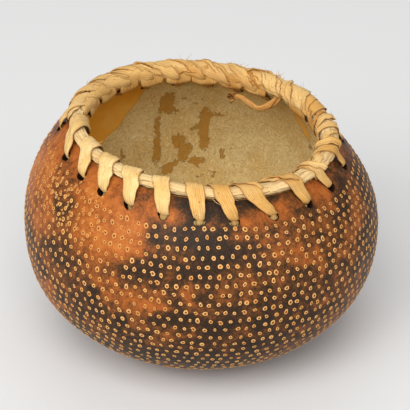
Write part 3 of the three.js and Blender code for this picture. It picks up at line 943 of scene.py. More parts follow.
@dataclass
class PrickMarks:
    """Thousands of small marks pricked into the skin in wandering rows."""

    wall: GourdWall
    spacing: float = 0.0051
    lowest_row: float = 0.036
    bare_band: float = 0.0165
    mark_radius: float = 0.00124
    lip_height: float = 0.00024
    sides: int = 9
    crowd_angles: tuple[float, float] = (192, 232)
    crowd_size: float = 0.64
    seed: int = 5

    def variant(self, shape: MarkShape) -> bpy.types.Object:
        """Makes one form of mark, a unit across, standing on the XY plane.

        Args:
            shape: which form.

        Returns:
            The mark as an object outside the scene.
        """
        rng = np.random.default_rng(len(shape.value) * 7 + ord(shape.value[0]))
        turns = np.linspace(0, FULL_TURN, self.sides, endpoint=False)
        towards = np.maximum(np.sin(turns), 0)
        drawn = {MarkShape.DROP: 0.45, MarkShape.TEAR: 0.75, MarkShape.OPEN: 0.35}.get(shape, 0.0)
        uneven = 1 + rng.normal(0, 0.14 if shape is MarkShape.CORNERED else 0.09, self.sides)
        stretch = (1 + drawn * towards**4) * uneven
        narrow = {MarkShape.SLIT: 0.5, MarkShape.BROAD: 1.15, MarkShape.TEAR: 0.8}.get(shape, 1.0)
        height = self.lip_height / self.mark_radius
        crest = height * (1 - (0.8 if shape is MarkShape.OPEN else 0.15) * towards**2)
        filled = shape is MarkShape.FILLED
        pit = height * (0.62 if filled else 0.1)
        rings = []
        levels = ((0.36, pit + 0 * turns), (0.64, crest), (0.86, crest * 0.6), (1.0, -0.06 + 0 * turns))
        for share, level in levels:
            squeeze = narrow if share < 0.5 else (1 + narrow) / 2
            x, y = np.cos(turns) * share * squeeze, np.sin(turns) * share
            rings.append(np.stack([x * stretch, y * stretch, level], axis=-1))
        points = np.concatenate([np.concatenate(rings), [[0, 0.05, pit * 0.8]]])
        rise = np.repeat(
            [0.4 if filled else 0.15, 1.0, 1.0, 1.0, 0.35 if filled else 0.0], [self.sides] * 4 + [1])
        foot = np.repeat([0.0, 0.0, 0.3, 1.0, 0.0], [self.sides] * 4 + [1])
        faces = [tuple(reversed(face)) for face in ring_faces(4, self.sides)]
        middle = 4 * self.sides
        faces += [(middle, here, (here + 1) % self.sides) for here in range(self.sides)]
        made = make_object(
            f"mark_{shape.value}", points * self.mark_radius, faces, {"rise": rise, "foot": foot})
        bpy.context.scene.collection.objects.unlink(made)
        return made

    def places(self) -> tuple[np.ndarray, np.ndarray, np.ndarray]:
        """Lays out the marks.

        Returns:
            The angles and the lengths up the wall of the marks' middles, and the marks' sizes.
        """
        rng = np.random.default_rng(self.seed)
        form = self.wall.form
        top = form.mouth_length - self.bare_band
        angles, lengths = [], []
        row_count = int((top - self.lowest_row) / (self.spacing * 0.93))
        count, start = 0, 0.0
        for row in range(row_count + 1):
            climbed = self.lowest_row + (top - self.lowest_row) * row / row_count
            radius = np.linalg.norm(form.point(np.array(0.0), np.array(climbed))[:2])
            wanted = FULL_TURN * radius / self.spacing
            if abs(wanted - count) > 0.045 * count:
                count = int(wanted * 1.02)
            start += (0.5 + rng.normal(0, 0.05)) * FULL_TURN / count
            stray = rng.normal(0, 0.09, count) + 0.25 * np.sin(np.arange(count) * 0.21 + row * 0.6)
            angle = start + (np.arange(count) + stray) * FULL_TURN / count
            wave = (np.sin(2 * angle + 0.11 * row) + 0.7 * np.sin(5 * angle - 0.17 * row + 1)
                    + 0.5 * np.sin(9 * angle + 0.3 * row))
            angles.append(angle)
            lengths.append(climbed / form.mouth_length * form.edge(angle) + 0.0011 * wave
                           + rng.normal(0, 0.0003, count))
        angle, length = np.concatenate(angles) % FULL_TURN, np.concatenate(lengths)
        kept = rng.uniform(0, 1, len(angle)) > 0.015
        extra_angle, extra_length = self.crowded(rng)
        sizes = np.concatenate([np.ones(np.count_nonzero(kept)), np.full(len(extra_angle), self.crowd_size)])
        return (np.concatenate([angle[kept], extra_angle]), np.concatenate([length[kept], extra_length]),
                sizes)

    def crowded(self, rng: np.random.Generator) -> tuple[np.ndarray, np.ndarray]:
        """Lays out the small extra marks that crowd the left shoulder.

        Args:
            rng: the source of chance.

        Returns:
            Their angles and their lengths up the wall.
        """
        low, high = self.crowd_angles
        across, up = np.meshgrid(np.linspace(low, high, 17), np.linspace(0.013, 0.036, 9))
        angle = np.radians(across + rng.normal(0, 0.9, across.shape)).ravel()
        length = self.wall.form.edge(angle) - (up + rng.normal(0, 0.0009, up.shape)).ravel()
        kept = rng.uniform(0, 1, len(angle)) > 0.2
        return angle[kept], length[kept]

    def build(self) -> bpy.types.Object:
        """Builds the marks.

        Returns:
            The finished piece.
        """
        angle, length, sizes = self.places()
        form = self.wall.form
        points = self.wall.outside(angle, length)
        up = unit(form.point(angle, length + 0.001) - form.point(angle, length))
        made = make_object("prick_marks", points, [], {
            "way_out": form.normal(angle, length), "way_up": up, "stain": stained(points, SKIN_STAINS),
            "size": sizes})
        shapes = bpy.data.collections.new("mark_shapes")
        for shape in MarkShape:
            shapes.objects.link(self.variant(shape))
        group = NodesGroup("prick_marks")
        smallest = group.input("Smallest size", "Float", 0.82)
        largest = group.input("Largest size", "Float", 1.16)
        swing = group.input("Swing", "Float", 0.55)
        seed = group.input("Seed", "Int", self.seed)
        forms = group.node("GeometryNodeCollectionInfo", {}, {
            "Collection": group.input("Mark shapes", "Collection", shapes),
            "Separate Children": True, "Reset Children": True})["Instances"]
        upright = group.node("FunctionNodeAxesToRotation", {"primary_axis": "Z", "secondary_axis": "Y"}, {
            "Primary Axis": group.carried("way_out", "FLOAT_VECTOR"),
            "Secondary Axis": group.carried("way_up", "FLOAT_VECTOR")})["Rotation"]
        about = group.node("FunctionNodeAxisAngleToRotation", {}, {
            "Axis": (0, 0, 1), "Angle": group.random(swing * -1.0, swing, seed)})["Rotation"]
        turned = group.node("FunctionNodeRotateRotation", {"rotation_space": "LOCAL"}, {
            "Rotation": upright, "Rotate By": about})["Rotation"]
        points_in = group.node("GeometryNodeMeshToPoints", {}, {"Mesh": group.source["Geometry"]})["Points"]
        placed = group.node("GeometryNodeInstanceOnPoints", {}, {
            "Points": points_in, "Instance": forms, "Pick Instance": True, "Rotation": turned,
            "Instance Index": group.node("FunctionNodeRandomValue", {"data_type": "INT"}, {
                "Min": 0, "Max": len(MarkShape) - 1, "Seed": seed + 1.0})["Value"],
            "Scale": group.random(smallest, largest, seed + 2.0) * group.carried("size")})["Instances"]
        toned = group.node("GeometryNodeStoreNamedAttribute", {"data_type": "FLOAT", "domain": "INSTANCE"}, {
            "Geometry": placed, "Name": "tone", "Value": group.random(0.0, 1.0, seed + 3.0)})["Geometry"]
        group.apply(made, toned, PrickFinish(SkinFinish()).build())
        for shape in list(shapes.objects):
            bpy.data.objects.remove(shape)
        bpy.data.collections.remove(shapes)
        declare(made, "gourd_skin")
        return made


class Place(Enum):
    """What a lacing strip lies on at a station of its way."""

    HOLE = "hole"
    OUTSIDE = "outside"
    CORE = "core"
    INSIDE = "inside"


@dataclass(frozen=True)
class Station:
    """One station of a stitch: how far it has travelled, what it lies on and how it is squeezed."""

    travel: float
    place: Place
    amount: float
    clear: float = 0.0
    pinch: float = 0.0


@dataclass(frozen=True)
class Stitch:
    """One stitch of the lacing.

    rise and cross are the shares of the way to the next hole that it has gone where
    it comes onto the core and where it leaves it; a hugging stitch keeps to the
    core's inner flank for the rest of the way, lift raises it off the core, and late,
    above 1, makes it go up steeply outside and slantwise inside.
    """

    angle: float
    width: float
    rise: float
    cross: float
    tint: float
    hugs: bool = False
    lift: float = 0.0
    late: float = 1.0


@dataclass(frozen=True)
class RimForm:
    """The form of the leaf core on the cut edge and of what lies over it."""

    form: GourdForm
    core_width: float = 0.0082
    core_seat: float = 0.38
    core_height: float = 0.0054
    strip_thickness: float = 0.0009
    strip_gap: float = 0.0004
    hole_lift: float = 0.0009

    def core_size(self, angle: np.ndarray) -> tuple[np.ndarray, np.ndarray]:
        """The core's half width and half height at an angle."""
        right, back = np.cos(angle), np.sin(angle)
        ripple = 0.04 * np.sin(5 * angle + 1) + 0.03 * np.sin(11 * angle)
        width = self.core_width / 2 * (1 + 0.1 * right + ripple)
        height = self.core_height / 2 * (1 + 0.06 * right - 0.08 * np.abs(back) - ripple)
        return width, height

    def flank(self, angle: np.ndarray, turn: np.ndarray, clear: np.ndarray | float) -> np.ndarray:
        """Places points round the core.

        Args:
            angle: angles round the mouth, in radians.
            turn: turns round the core's section, from outwards over the top.
            clear: distances from the core's surface.

        Returns:
            The points.
        """
        width, height = self.core_size(angle)
        outer = self.form.point(angle, self.form.edge(angle))
        inner_length = self.form.edge(angle) + self.form.edge_bevel
        inner = self.form.point(angle, inner_length, self.form.wall(inner_length))
        middle = outer + (inner - outer) * self.core_seat
        out = (width + clear) * np.cos(turn)
        x = middle[..., 0] + out * np.cos(angle)
        y = middle[..., 1] + out * np.sin(angle)
        z = outer[..., 2] + height + self.strip_gap + (height + clear) * np.sin(turn)
        return np.stack([x, y, z], axis=-1)

    def station_point(self, station: Station, angle: np.ndarray, out: np.ndarray) -> np.ndarray:
        """Places points across a strip at a station.

        Args:
            station: where the strip is.
            angle: angles round the mouth, in radians.
            out: distances from the strip's middle, away from what it lies on.

        Returns:
            The points.
        """
        form = self.form
        edge, drop = form.edge(angle), form.hole_drop(angle)
        if station.place is Place.HOLE:
            return form.point(angle, edge - drop + self.hole_lift - out, station.amount * form.wall_at_mouth)
        if station.place is Place.OUTSIDE:
            return form.point(angle, edge - station.amount * drop, -station.clear - out)
        if station.place is Place.INSIDE:
            length = edge + form.edge_bevel + (-drop - form.edge_bevel) * station.amount
            return form.point(angle, length, form.wall(length) + station.clear + out)
        return self.flank(angle, np.full_like(angle, math.radians(station.amount)), station.clear + out)


@dataclass
class LeafRibbon:
    """A closed ribbon of leaf, given by its middle surface as a grid of points."""

    name: str
    grid: np.ndarray
    half_widths: np.ndarray
    pinch: np.ndarray
    thickness: float
    finish: LeafFinish
    tint: np.ndarray | None = None
    vein_gap: float = 0.0012
    vein_depth: float = 0.00003
    crumple: float = 0.0006
    seed: int = 1

    def build(self, slot: str, *nodes: str) -> bpy.types.Object:
        """Builds the ribbon with its two faces and its edges.

        Args:
            slot: the record's material slot.
            nodes: the CAD nodes that it stands for.

        Returns:
            The finished piece.
        """
        rows, columns = self.grid.shape[:2]
        along_way = np.gradient(self.grid, axis=0)
        across_way = np.gradient(self.grid, axis=1)
        out = unit(np.cross(across_way, along_way))
        side = np.linspace(-1, 1, columns)
        taper = 1 - 0.45 * np.abs(side) ** 6
        half = out * (self.thickness / 2 * taper)[None, :, None]
        steps = np.linalg.norm(np.diff(self.grid[:, columns // 2], axis=0), axis=-1)
        along = np.broadcast_to(np.concatenate([[0.0], np.cumsum(steps)])[:, None], (rows, columns))
        across = side[None, :] * self.half_widths[:, None]
        rim = np.broadcast_to(np.abs(side)[None, :], (rows, columns))
        pinch = np.broadcast_to(self.pinch[:, None], (rows, columns))
        amber = np.zeros(rows) if self.tint is None else self.tint
        tint = np.broadcast_to(amber[:, None], (rows, columns))

        def both(values: np.ndarray) -> np.ndarray:
            """Repeats the values for the leaf's back."""
            return np.concatenate([values.reshape(-1, *values.shape[2:])] * 2)

        size = rows * columns
        upper = ring_faces(rows, columns, 0, False)
        lower = [tuple(reversed(face)) for face in ring_faces(rows, columns, size, False)]
        border = list(range(columns)) + [row * columns + columns - 1 for row in range(1, rows)]
        border += [size - 2 - step for step in range(columns - 1)]
        border += [row * columns for row in range(rows - 2, 0, -1)]
        sides = [(border[at], border[at - 1], border[at - 1] + size, border[at] + size)
                 for at in range(len(border))]
        points = np.concatenate([(self.grid + half).reshape(-1, 3), (self.grid - half).reshape(-1, 3)])
        made = make_object(self.name, points, upper + lower + sides, {
            "across": both(across), "along": both(along), "rim": both(rim), "pinch": both(pinch),
            "tint": both(tint), "way_out": both(out)})
        self.crease(made)
        declare(made, slot, *nodes)
        return made

    def crease(self, made: bpy.types.Object) -> None:
        """Raises the veins and crumples the leaf, most where it is gathered into a hole."""
        group = NodesGroup(f"{self.name}_creases")
        gap = group.input("Vein gap", "Float", self.vein_gap)
        depth = group.input("Vein depth", "Float", self.vein_depth)
        crumple = group.input("Crumple", "Float", self.crumple)
        seed = group.input("Seed", "Int", self.seed)
        across, along, pinch = (group.carried(name) for name in ("across", "along", "pinch"))
        spot = group.node("ShaderNodeCombineXYZ", {}, {
            "X": along * 60.0, "Y": across * 190.0, "Z": seed * 3.7})["Vector"]
        rough = group.node("ShaderNodeTexNoise", {}, {"Vector": spot, "Scale": 1.0, "Detail": 3.0})["Fac"]
        long_spot = group.node("ShaderNodeCombineXYZ", {}, {
            "X": along * 16.0, "Y": across * 420.0, "Z": seed * 5.1})["Vector"]
        folds = group.node(
            "ShaderNodeTexNoise", {}, {"Vector": long_spot, "Scale": 1.0, "Detail": 2.0})["Fac"]
        veins = ((across + (rough - 0.5) * 0.0006) / gap * FULL_TURN).wave() * depth
        lift = veins + (rough - 0.5) * crumple + (folds - 0.5) * (pinch * 1.6 + 0.9) * crumple
        way = group.node("ShaderNodeVectorMath", {"operation": "SCALE"}, {
            0: group.carried("way_out", "FLOAT_VECTOR"), "Scale": lift})["Vector"]
        moved = group.node("GeometryNodeSetPosition", {}, {
            "Geometry": group.source["Geometry"], "Offset": way})["Geometry"]
        group.apply(made, moved, self.finish.build())


def smooth_rows(stations: np.ndarray, step: float) -> tuple[np.ndarray, np.ndarray]:
    """Runs smooth curves through rows of points.

    Args:
        stations: rows of points, one row for each station.
        step: the wanted distance between two new rows.

    Returns:
        The new rows, and for each the place among the stations that it was read at.
    """
    middle = stations[:, stations.shape[1] // 2]
    chord = np.maximum(np.linalg.norm(np.diff(middle, axis=0), axis=-1), 1e-5)
    knots = np.concatenate([[0.0], np.cumsum(chord)])
    slopes = np.gradient(stations, knots, axis=0)
    at = np.linspace(0, knots[-1], max(int(knots[-1] / step), 2) + 1)
    span = np.clip(np.searchsorted(knots, at, side="right") - 1, 0, len(chord) - 1)
    width = chord[span][:, None, None]
    t = ((at - knots[span]) / chord[span])[:, None, None]
    rows = ((2 * t**3 - 3 * t**2 + 1) * stations[span] + (t**3 - 2 * t**2 + t) * width * slopes[span]
            + (3 * t**2 - 2 * t**3) * stations[span + 1] + (t**3 - t**2) * width * slopes[span + 1])
    return rows, span + t[:, 0, 0]


@dataclass
class LacingStrip:
    """One strip of leaf that laces the core to the wall, stitch by stitch."""

    name: str
    rim: RimForm
    stitches: Sequence[Stitch]
    end_angle: float
    finish: LeafFinish
    overlap: float = 0.0009
    curl: float = 0.0
    in_hole_width: float = 0.0052
    columns: int = 27
    step: float = 0.0011
    seed: int = 3

    def stations(self, stitch: Stitch, ends: bool) -> list[Station]:
        """Lists the stations of one stitch, from its hole over the core to the next hole.

        Args:
            stitch: the stitch.
            ends: whether it is the strip's last, which is tucked in at the core.

        Returns:
            The stations in order.
        """
        clear = self.rim.strip_gap + self.rim.strip_thickness / 2
        rise, cross = stitch.rise, stitch.cross

        def over(share: float) -> float:
            """Places a share of the way over the core along the stitch."""
            return rise + (cross - rise) * share**stitch.late

        def later(share: float) -> float:
            """Places a share of the way down to the next hole along the stitch."""
            return cross + (1 - cross) * share

        top = clear + stitch.lift
        climb = [
            Station(-0.02, Place.HOLE, 0.5, 0, 1),
            Station(0.02 * rise, Place.HOLE, 0.06, 0, 0.9),
            Station(0.16 * rise, Place.OUTSIDE, 0.86, clear + 0.0001, 0.84),
            Station(0.40 * rise, Place.OUTSIDE, 0.6, clear + 0.0010, 0.56),
            Station(0.70 * rise, Place.OUTSIDE, 0.28, clear + 0.0017, 0.3),
            Station(rise, Place.CORE, -8, clear + 0.0001, 0.1),
            Station(over(0.25), Place.CORE, 32, top),
            Station(over(0.5), Place.CORE, 67.5, top),
            Station(over(0.75), Place.CORE, 112.5, top),
            Station(cross, Place.CORE, 157.5, clear + 0.0002, 0.2),
        ]
        if ends:
            return climb + [Station(later(0.3), Place.CORE, 200, clear + 0.0007, 0.5)]
        if stitch.hugs:
            flank = [Station(later(0.4), Place.CORE, 172, clear + 0.0003),
                     Station(later(0.75), Place.INSIDE, 0, clear + 0.0006, 0.3)]
        else:
            flank = [Station(later(0.55), Place.INSIDE, 0, clear + 0.0008, 0.35)]
        return climb + flank + [
            Station(later(0.8), Place.INSIDE, 0.25, clear + 0.0004, 0.8),
            Station(later(0.97), Place.INSIDE, 0.6, clear, 1),
            Station(1, Place.INSIDE, 0.82, clear, 1),
            Station(1, Place.HOLE, 1.1, 0, 1),
        ]

    def section(self, station: Station, angle: float, width: float) -> np.ndarray:
        """Places the points across the strip at a station."""
        side = np.linspace(-1, 1, self.columns)
        middle = self.rim.station_point(station, np.array([angle]), np.zeros(1))[0]
        reach = width / 2 / math.hypot(middle[0], middle[1])
        spread = 1 - station.pinch
        shingle = self.overlap * spread * (0.5 + 0.5 * np.tanh(3 * (side - 0.15)))
        rolled = self.curl * spread * np.abs(side) ** 5
        crown = 0.00025 * (1 - side**2) + 0.0009 * station.pinch * (1 - side**2)
        return self.rim.station_point(station, angle + side * reach, shingle + rolled + crown - 0.0002)

    def build(self, slot: str, node: str) -> bpy.types.Object:
        """Builds the strip.

        Args:
            slot: the record's material slot.
            node: the CAD node that it stands for.

        Returns:
            The finished piece.
        """
        rng = np.random.default_rng(self.seed)
        sections, widths, pinches, tints = [], [], [], []
        for number, stitch in enumerate(self.stitches):
            ends = number == len(self.stitches) - 1
            after = self.end_angle if ends else self.stitches[number + 1].angle
            swing = (after - stitch.angle + 540) % 360 - 180
            for station in self.stations(stitch, ends):
                sway = rng.normal(0, 0.12) * (1 - station.pinch)
                angle = math.radians(stitch.angle + swing * station.travel + sway)
                full = stitch.width * (1 + rng.normal(0, 0.04))
                width = full + (self.in_hole_width - full) * station.pinch
                sections.append(self.section(station, angle, width))
                widths.append(width / 2)
                pinches.append(station.pinch)
                # Inside the rim the strip takes the full amber tint: painted shade on the tabs that run from
                # under the core down to the holes.
                tints.append(1.0 if station.place is Place.INSIDE else stitch.tint)
        rows, at = smooth_rows(np.array(sections), self.step)
        order = np.arange(len(widths))
        ribbon = LeafRibbon(self.name, self.fray(rows, rng), np.interp(at, order, widths),
                            np.interp(at, order, pinches), 0.00055, self.finish,
                            tint=np.interp(at, order, tints), seed=self.seed)
        return ribbon.build(slot, node)

    def fray(self, rows: np.ndarray, rng: np.random.Generator) -> np.ndarray:
        """Makes the strip's two edges run unevenly.

        Args:
            rows: the strip's middle surface.
            rng: the source of chance.

        Returns:
            The surface with its edges drawn in and out.
        """
        side = np.linspace(-1, 1, self.columns)
        middle = rows[:, self.columns // 2][:, None]
        slow = np.convolve(rng.normal(0, 0.05, len(rows) + 8), np.ones(9) / 9, "valid")
        quick = np.convolve(rng.normal(0, 0.045, len(rows) + 2), np.ones(3) / 3, "valid")
        other = np.convolve(rng.normal(0, 0.05, len(rows) + 8), np.ones(9) / 9, "valid")
        wander = np.where(side[None, :] > 0, slow[:, None], other[:, None]) + quick[:, None]
        return middle + (rows - middle) * (1 + wander * np.abs(side[None, :]) ** 3)[..., None]


PALE_STITCHES = (
    Stitch(257, 0.0094, 0.10, 0.28, 0.10), Stitch(243, 0.0108, 0.10, 0.35, 0.0),
    Stitch(230, 0.0115, 0.14, 0.45, 0.0), Stitch(217, 0.0125, 0.2, 0.55, 0.0),
    Stitch(202, 0.0150, 0.25, 0.6, 0.2), Stitch(178, 0.0180, 0.25, 0.7, 0.3, late=1.3),
    Stitch(160, 0.0176, 0.1, 0.8, 0.5, lift=0.0003, late=1.5),
    Stitch(144.5, 0.0172, 0.1, 0.9, 0.7, late=1.7),
    Stitch(129.5, 0.0166, 0.1, 0.9, 0.75, lift=0.0004, late=1.7),
    Stitch(114.5, 0.0172, 0.1, 0.9, 0.7, late=1.8),
    Stitch(99.5, 0.0164, 0.1, 0.9, 0.8, lift=0.0004, late=1.8),
    Stitch(85.5, 0.0156, 0.1, 0.9, 0.75, late=1.8),
    Stitch(72, 0.0156, 0.1, 0.85, 0.8, lift=0.0004, late=1.6),
    Stitch(58, 0.0150, 0.15, 0.8, 0.8, late=1.4),
)
TAN_STITCHES = (
    Stitch(42.5, 0.0185, 0.25, 0.7, 0.4, lift=0.0004), Stitch(27, 0.0104, 0.05, 0.35, 0.4, True, 0.0005),
    Stitch(10, 0.0058, 0.1, 0.3, 0.25, True, 0.0005), Stitch(349, 0.0070, 0.1, 0.4, 0.1, True, 0.0002),
    Stitch(331, 0.0072, 0.22, 0.42, 0.0), Stitch(315.5, 0.0090, 0.14, 0.34, 0.45),
    Stitch(299, 0.0100, 0.36, 0.6, 0.4), Stitch(283.5, 0.0092, 0.2, 0.4, 0.3),
    Stitch(270.5, 0.0092, 0.10, 0.28, 0.15),
)
PALE_END = 44.0
TAN_END = 261.0


@dataclass
class LeafCore:
    """The bundle of leaf that lies on the cut edge, folded and wrinkled along its length."""

    rim: RimForm
    around: int = 560
    sides: int = 44
    slim: float = -0.0001

    def build(self) -> bpy.types.Object:
        """Builds the core.

        Returns:
            The finished piece.
        """
        angle = np.linspace(0, FULL_TURN, self.around, endpoint=False)[:, None]
        turn = np.linspace(0, -FULL_TURN, self.sides, endpoint=False)[None, :]
        angle, turn = np.broadcast_arrays(angle, turn)
        pleat = 0.00022 * np.cos(7 * turn + 1.3 * np.sin(2 * angle) + np.sin(5 * angle + 1))
        wrinkle = np.array([
            noise.fractal(Vector((math.cos(a) * 26, math.sin(a) * 26, 3 * math.cos(t)))
                          + Vector((0, 0, 2 * math.sin(t))),
                          1.0, 2.0, 3)
            for a, t in zip(angle.ravel(), turn.ravel())]).reshape(angle.shape)
        clear = self.slim + pleat + 0.00032 * wrinkle
        grid = self.rim.flank(angle, turn, clear)
        out = unit(grid - self.rim.flank(angle, turn, clear - 0.002))
        faces = ring_faces(self.around, self.sides) + [
            ((self.around - 1) * self.sides + side, (self.around - 1) * self.sides + (side + 1) % self.sides,
             (side + 1) % self.sides, side) for side in range(self.sides)]
        size = self.rim.core_width / 2
        made = make_object("leaf_core", grid.reshape(-1, 3), faces, {
            "across": (turn * size * 0.8).ravel(), "along": (angle * 0.068).ravel(),
            "rim": np.zeros(grid.size // 3), "pinch": np.zeros(grid.size // 3),
            "way_out": out.reshape(-1, 3)})
        made.data.materials.append(CORE_LEAF.build())
        declare(made, "leaf_core", "rim_core")
        return made


@dataclass(frozen=True)
class Fold:
    """One narrow strip of leaf laid on the rim: the angles and the turns round the core that it joins."""

    start: float
    end: float
    turn_start: float
    turn_end: float
    width: float
    lift: float = 0.0
    tint: float = 0.1
    flare: float = 0.0


# Folds that lie along the core, showing between the stitches.
CORE_FOLDS = (
    Fold(196, 250, 30, 70, 0.0038), Fold(224, 292, 80, 35, 0.0042, 0.0002),
    Fold(246, 318, 20, 75, 0.0036, 0.0001), Fold(286, 334, 100, 60, 0.0044),
    Fold(300, 356, 30, 50, 0.0046, 0.0003), Fold(318, 368, 80, 110, 0.0048, 0.0002),
    Fold(338, 392, 20, 55, 0.0050, 0.0001), Fold(350, 404, 95, 75, 0.0046, 0.0004),
    Fold(372, 420, 40, 100, 0.0052, 0.0002), Fold(388, 428, 130, 90, 0.0040, 0.0003),
)
# Strands that lie slantwise over the wide wraps at the back and the right.
BACK_STRANDS = (
    Fold(184, 160, 10, 198, 0.0055, 0.0007, 0.3), Fold(166, 142, 0, 212, 0.0061, 0.0009, 0.6),
    Fold(152, 130, 20, 218, 0.0074, 0.0007, 0.5), Fold(141, 118, 0, 212, 0.0048, 0.0011, 0.8),
    Fold(135, 112, 10, 222, 0.0081, 0.0008, 0.45), Fold(121, 103, 25, 212, 0.0046, 0.0016, 0.75),
    Fold(117, 93, 0, 216, 0.0086, 0.0013, 0.5), Fold(104, 86, 30, 206, 0.0040, 0.0018, 0.85),
    Fold(101, 76, 0, 220, 0.0090, 0.0013, 0.55), Fold(91, 66, 40, 222, 0.0048, 0.0019, 0.9),
    Fold(86, 60, 0, 216, 0.0080, 0.0015, 0.5), Fold(77, 50, 60, 226, 0.0056, 0.0020, 0.7),
    Fold(73, 52, -5, 206, 0.0078, 0.0018, 0.55), Fold(80, 46, 165, 228, 0.0052, 0.0016, 0.8),
    Fold(62, 45, 10, 216, 0.0072, 0.0021, 0.35), Fold(66, 55, 100, 40, 0.0034, 0.0025, 0.8),
    Fold(54, 36, 0, 212, 0.0080, 0.0018, 0.4), Fold(45, 31, 40, 222, 0.0056, 0.0020, 0.55),
    Fold(36, 24, 100, 216, 0.0050, 0.0012, 0.6), Fold(58, 20, 164, 178, 0.0056, 0.0014, 0.95),
    Fold(46, 25, 15, 176, 0.0086, 0.0023, 0.3), Fold(182, 150, 190, 206, 0.0046, 0.0008, 0.7),
    Fold(162, 128, 208, 196, 0.0050, 0.0010, 0.95), Fold(138, 104, 192, 210, 0.0052, 0.0008, 0.8),
    Fold(114, 84, 210, 196, 0.0054, 0.0015, 1), Fold(94, 60, 194, 208, 0.0058, 0.0013, 0.8),
    Fold(72, 44, 206, 186, 0.0052, 0.0015, 1),
)
RIGHT_STRANDS = (
    Fold(42, 30, 0, 150, 0.0060, 0.0021, 0.3), Fold(36, 21, 10, 182, 0.0056, 0.0020, 0.5),
    Fold(24, 12, 150, 196, 0.0044, 0.0016, 0.5), Fold(16, 6, 0, 172, 0.0034, 0.0019, 0.2),
    Fold(10, -1, 155, 195, 0.0036, 0.0012, 0.4), Fold(-8, -14, -5, 178, 0.0040, 0.0018, 0.1),
    Fold(-17, -33, 150, 60, 0.0036, 0.0006, 0.1), Fold(-28, -38, -10, 178, 0.0032, 0.0017, 0.0),
    Fold(-45, -60, 40, 200, 0.0040, 0.0017, 0.5), Fold(-52, -66, 95, 150, 0.0028, 0.0010, 0.2),
    Fold(2, -9, 60, 140, 0.0040, 0.0007, 0.1), Fold(-62, -76, 60, 175, 0.0030, 0.0016, 0.35),
)


# The tails of the wide wraps at the back, which dive over the wall's inner edge to the holes.
WRAP_TAILS = tuple(
    Fold(hole + 17, hole + 1, 150, 226, width, 0.0012, tint, 0.0034) for hole, width, tint in (
        (160, 0.0098, 0.6), (144.5, 0.0104, 0.75), (129.5, 0.0098, 0.6), (114.5, 0.0106, 0.8),
        (99.5, 0.0100, 0.65), (85.5, 0.0106, 0.85), (72, 0.0096, 0.7), (58, 0.0092, 0.8)))
# Thin brown strands twisted in between them: partly brown fibres, partly dark strips that stand in as painted
# shade in the gaps between the wraps.
BROWN_AND_SHADE_STRANDS = (
    Fold(178, 166, 50, 190, 0.0020, 0.0010, 0.6), Fold(154, 143, 20, 170, 0.0018, 0.0012, 0.4),
    Fold(131, 117, 40, 205, 0.0022, 0.0013, 0.7), Fold(109, 97, 60, 200, 0.0018, 0.0013, 0.5),
    Fold(90, 76, 70, 210, 0.0022, 0.0015, 0.8), Fold(74, 63, 10, 150, 0.0020, 0.0018, 0.5),
    Fold(67, 54, 80, 215, 0.0030, 0.0019, 0.9), Fold(60, 52, 0, 110, 0.0020, 0.0019, 0.3),
    Fold(52, 41, 70, 200, 0.0024, 0.0020, 0.7), Fold(44, 37, 10, 120, 0.0018, 0.0020, 0.4),
    Fold(33, 26, 60, 190, 0.0018, 0.0017, 0.5), Fold(18, 11, 60, 180, 0.0016, 0.0014, 0.6),
)


@dataclass
class Folds:
    """Narrow loose strips of leaf laid on the rim, each running straight from place to place."""

    name: str
    rim: RimForm
    folds: Sequence[Fold]
    finish: LeafFinish
    slot: str
    crumple: float = 0.0006
    edge_lift: float = 0.00045
    columns: int = 11
    step: float = 0.0009
    seat: float = 0.00015
    thickness: float = 0.0004
    ring_radius: float = 0.057
    seed: int = 40

    def grid(self, fold: Fold, number: int) -> tuple[np.ndarray, np.ndarray]:
        """Places one fold.

        Args:
            fold: the fold.
            number: which one it is, to make its waves its own.

        Returns:
            Its middle surface, and its half width at each row.
        """
        sweep, climb = math.radians(fold.end - fold.start), math.radians(fold.turn_end - fold.turn_start)
        around = self.rim.core_height * 0.62 + fold.lift
        length = math.hypot(sweep * self.ring_radius, climb * around)
        rows = max(int(length / self.step), 8)
        share = np.linspace(0, 1, rows)[:, None]
        sway = 0.0006 * np.sin(share * 9 + number) + 0.0003 * np.sin(share * 23 + 2 * number)
        tangent = np.array([sweep * self.ring_radius, climb * around]) / length
        taper = 0.3 + 0.7 * np.sin(np.pi * np.clip(share * 1.02, 0.015, 0.985)) ** 0.35
        torn = 1 + 0.09 * np.sin(share * 31 + 2 * number) + 0.06 * np.sin(share * 77 + number)
        half = fold.width / 2 * taper * torn
        side = np.linspace(-1, 1, self.columns)[None, :]
        offset = side * half + sway
        angle = math.radians(fold.start) + sweep * share + tangent[1] * offset / self.ring_radius
        turn = math.radians(fold.turn_start) + climb * share - tangent[0] * offset / around
        edge = np.clip(side if number % 2 else -side, 0, 1) ** 3
        bowed = self.edge_lift * edge * (0.2 + (number * 0.37) % 1)
        tucked = -0.0011 * np.abs(2 * share - 1) ** 6 * (fold.lift > 0.001)
        clear = self.seat + fold.lift + fold.flare * share**1.5 + bowed + tucked
        return self.rim.flank(angle, turn, clear), half[:, 0]

    def build(self) -> None:
        """Builds each fold as a piece of its own."""
        for number, fold in enumerate(self.folds):
            grid, half = self.grid(fold, number)
            ribbon = LeafRibbon(f"{self.name}_{number + 1}", grid, half, np.full(len(grid), 0.3),
                                self.thickness, self.finish, tint=np.full(len(grid), fold.tint),
                                crumple=self.crumple, seed=self.seed + number)
            ribbon.build(self.slot)


@dataclass(frozen=True)
class LoosePoint:
    """A point along the loose end: its place round, out from and above the bowl's middle."""

    angle: float
    reach: float
    height: float
    width: float
    twist: float

    def place(self) -> np.ndarray:
        """Gives the point in the part's frame."""
        turn = math.radians(self.angle)
        return np.array([self.reach * math.cos(turn), self.reach * math.sin(turn), self.height])


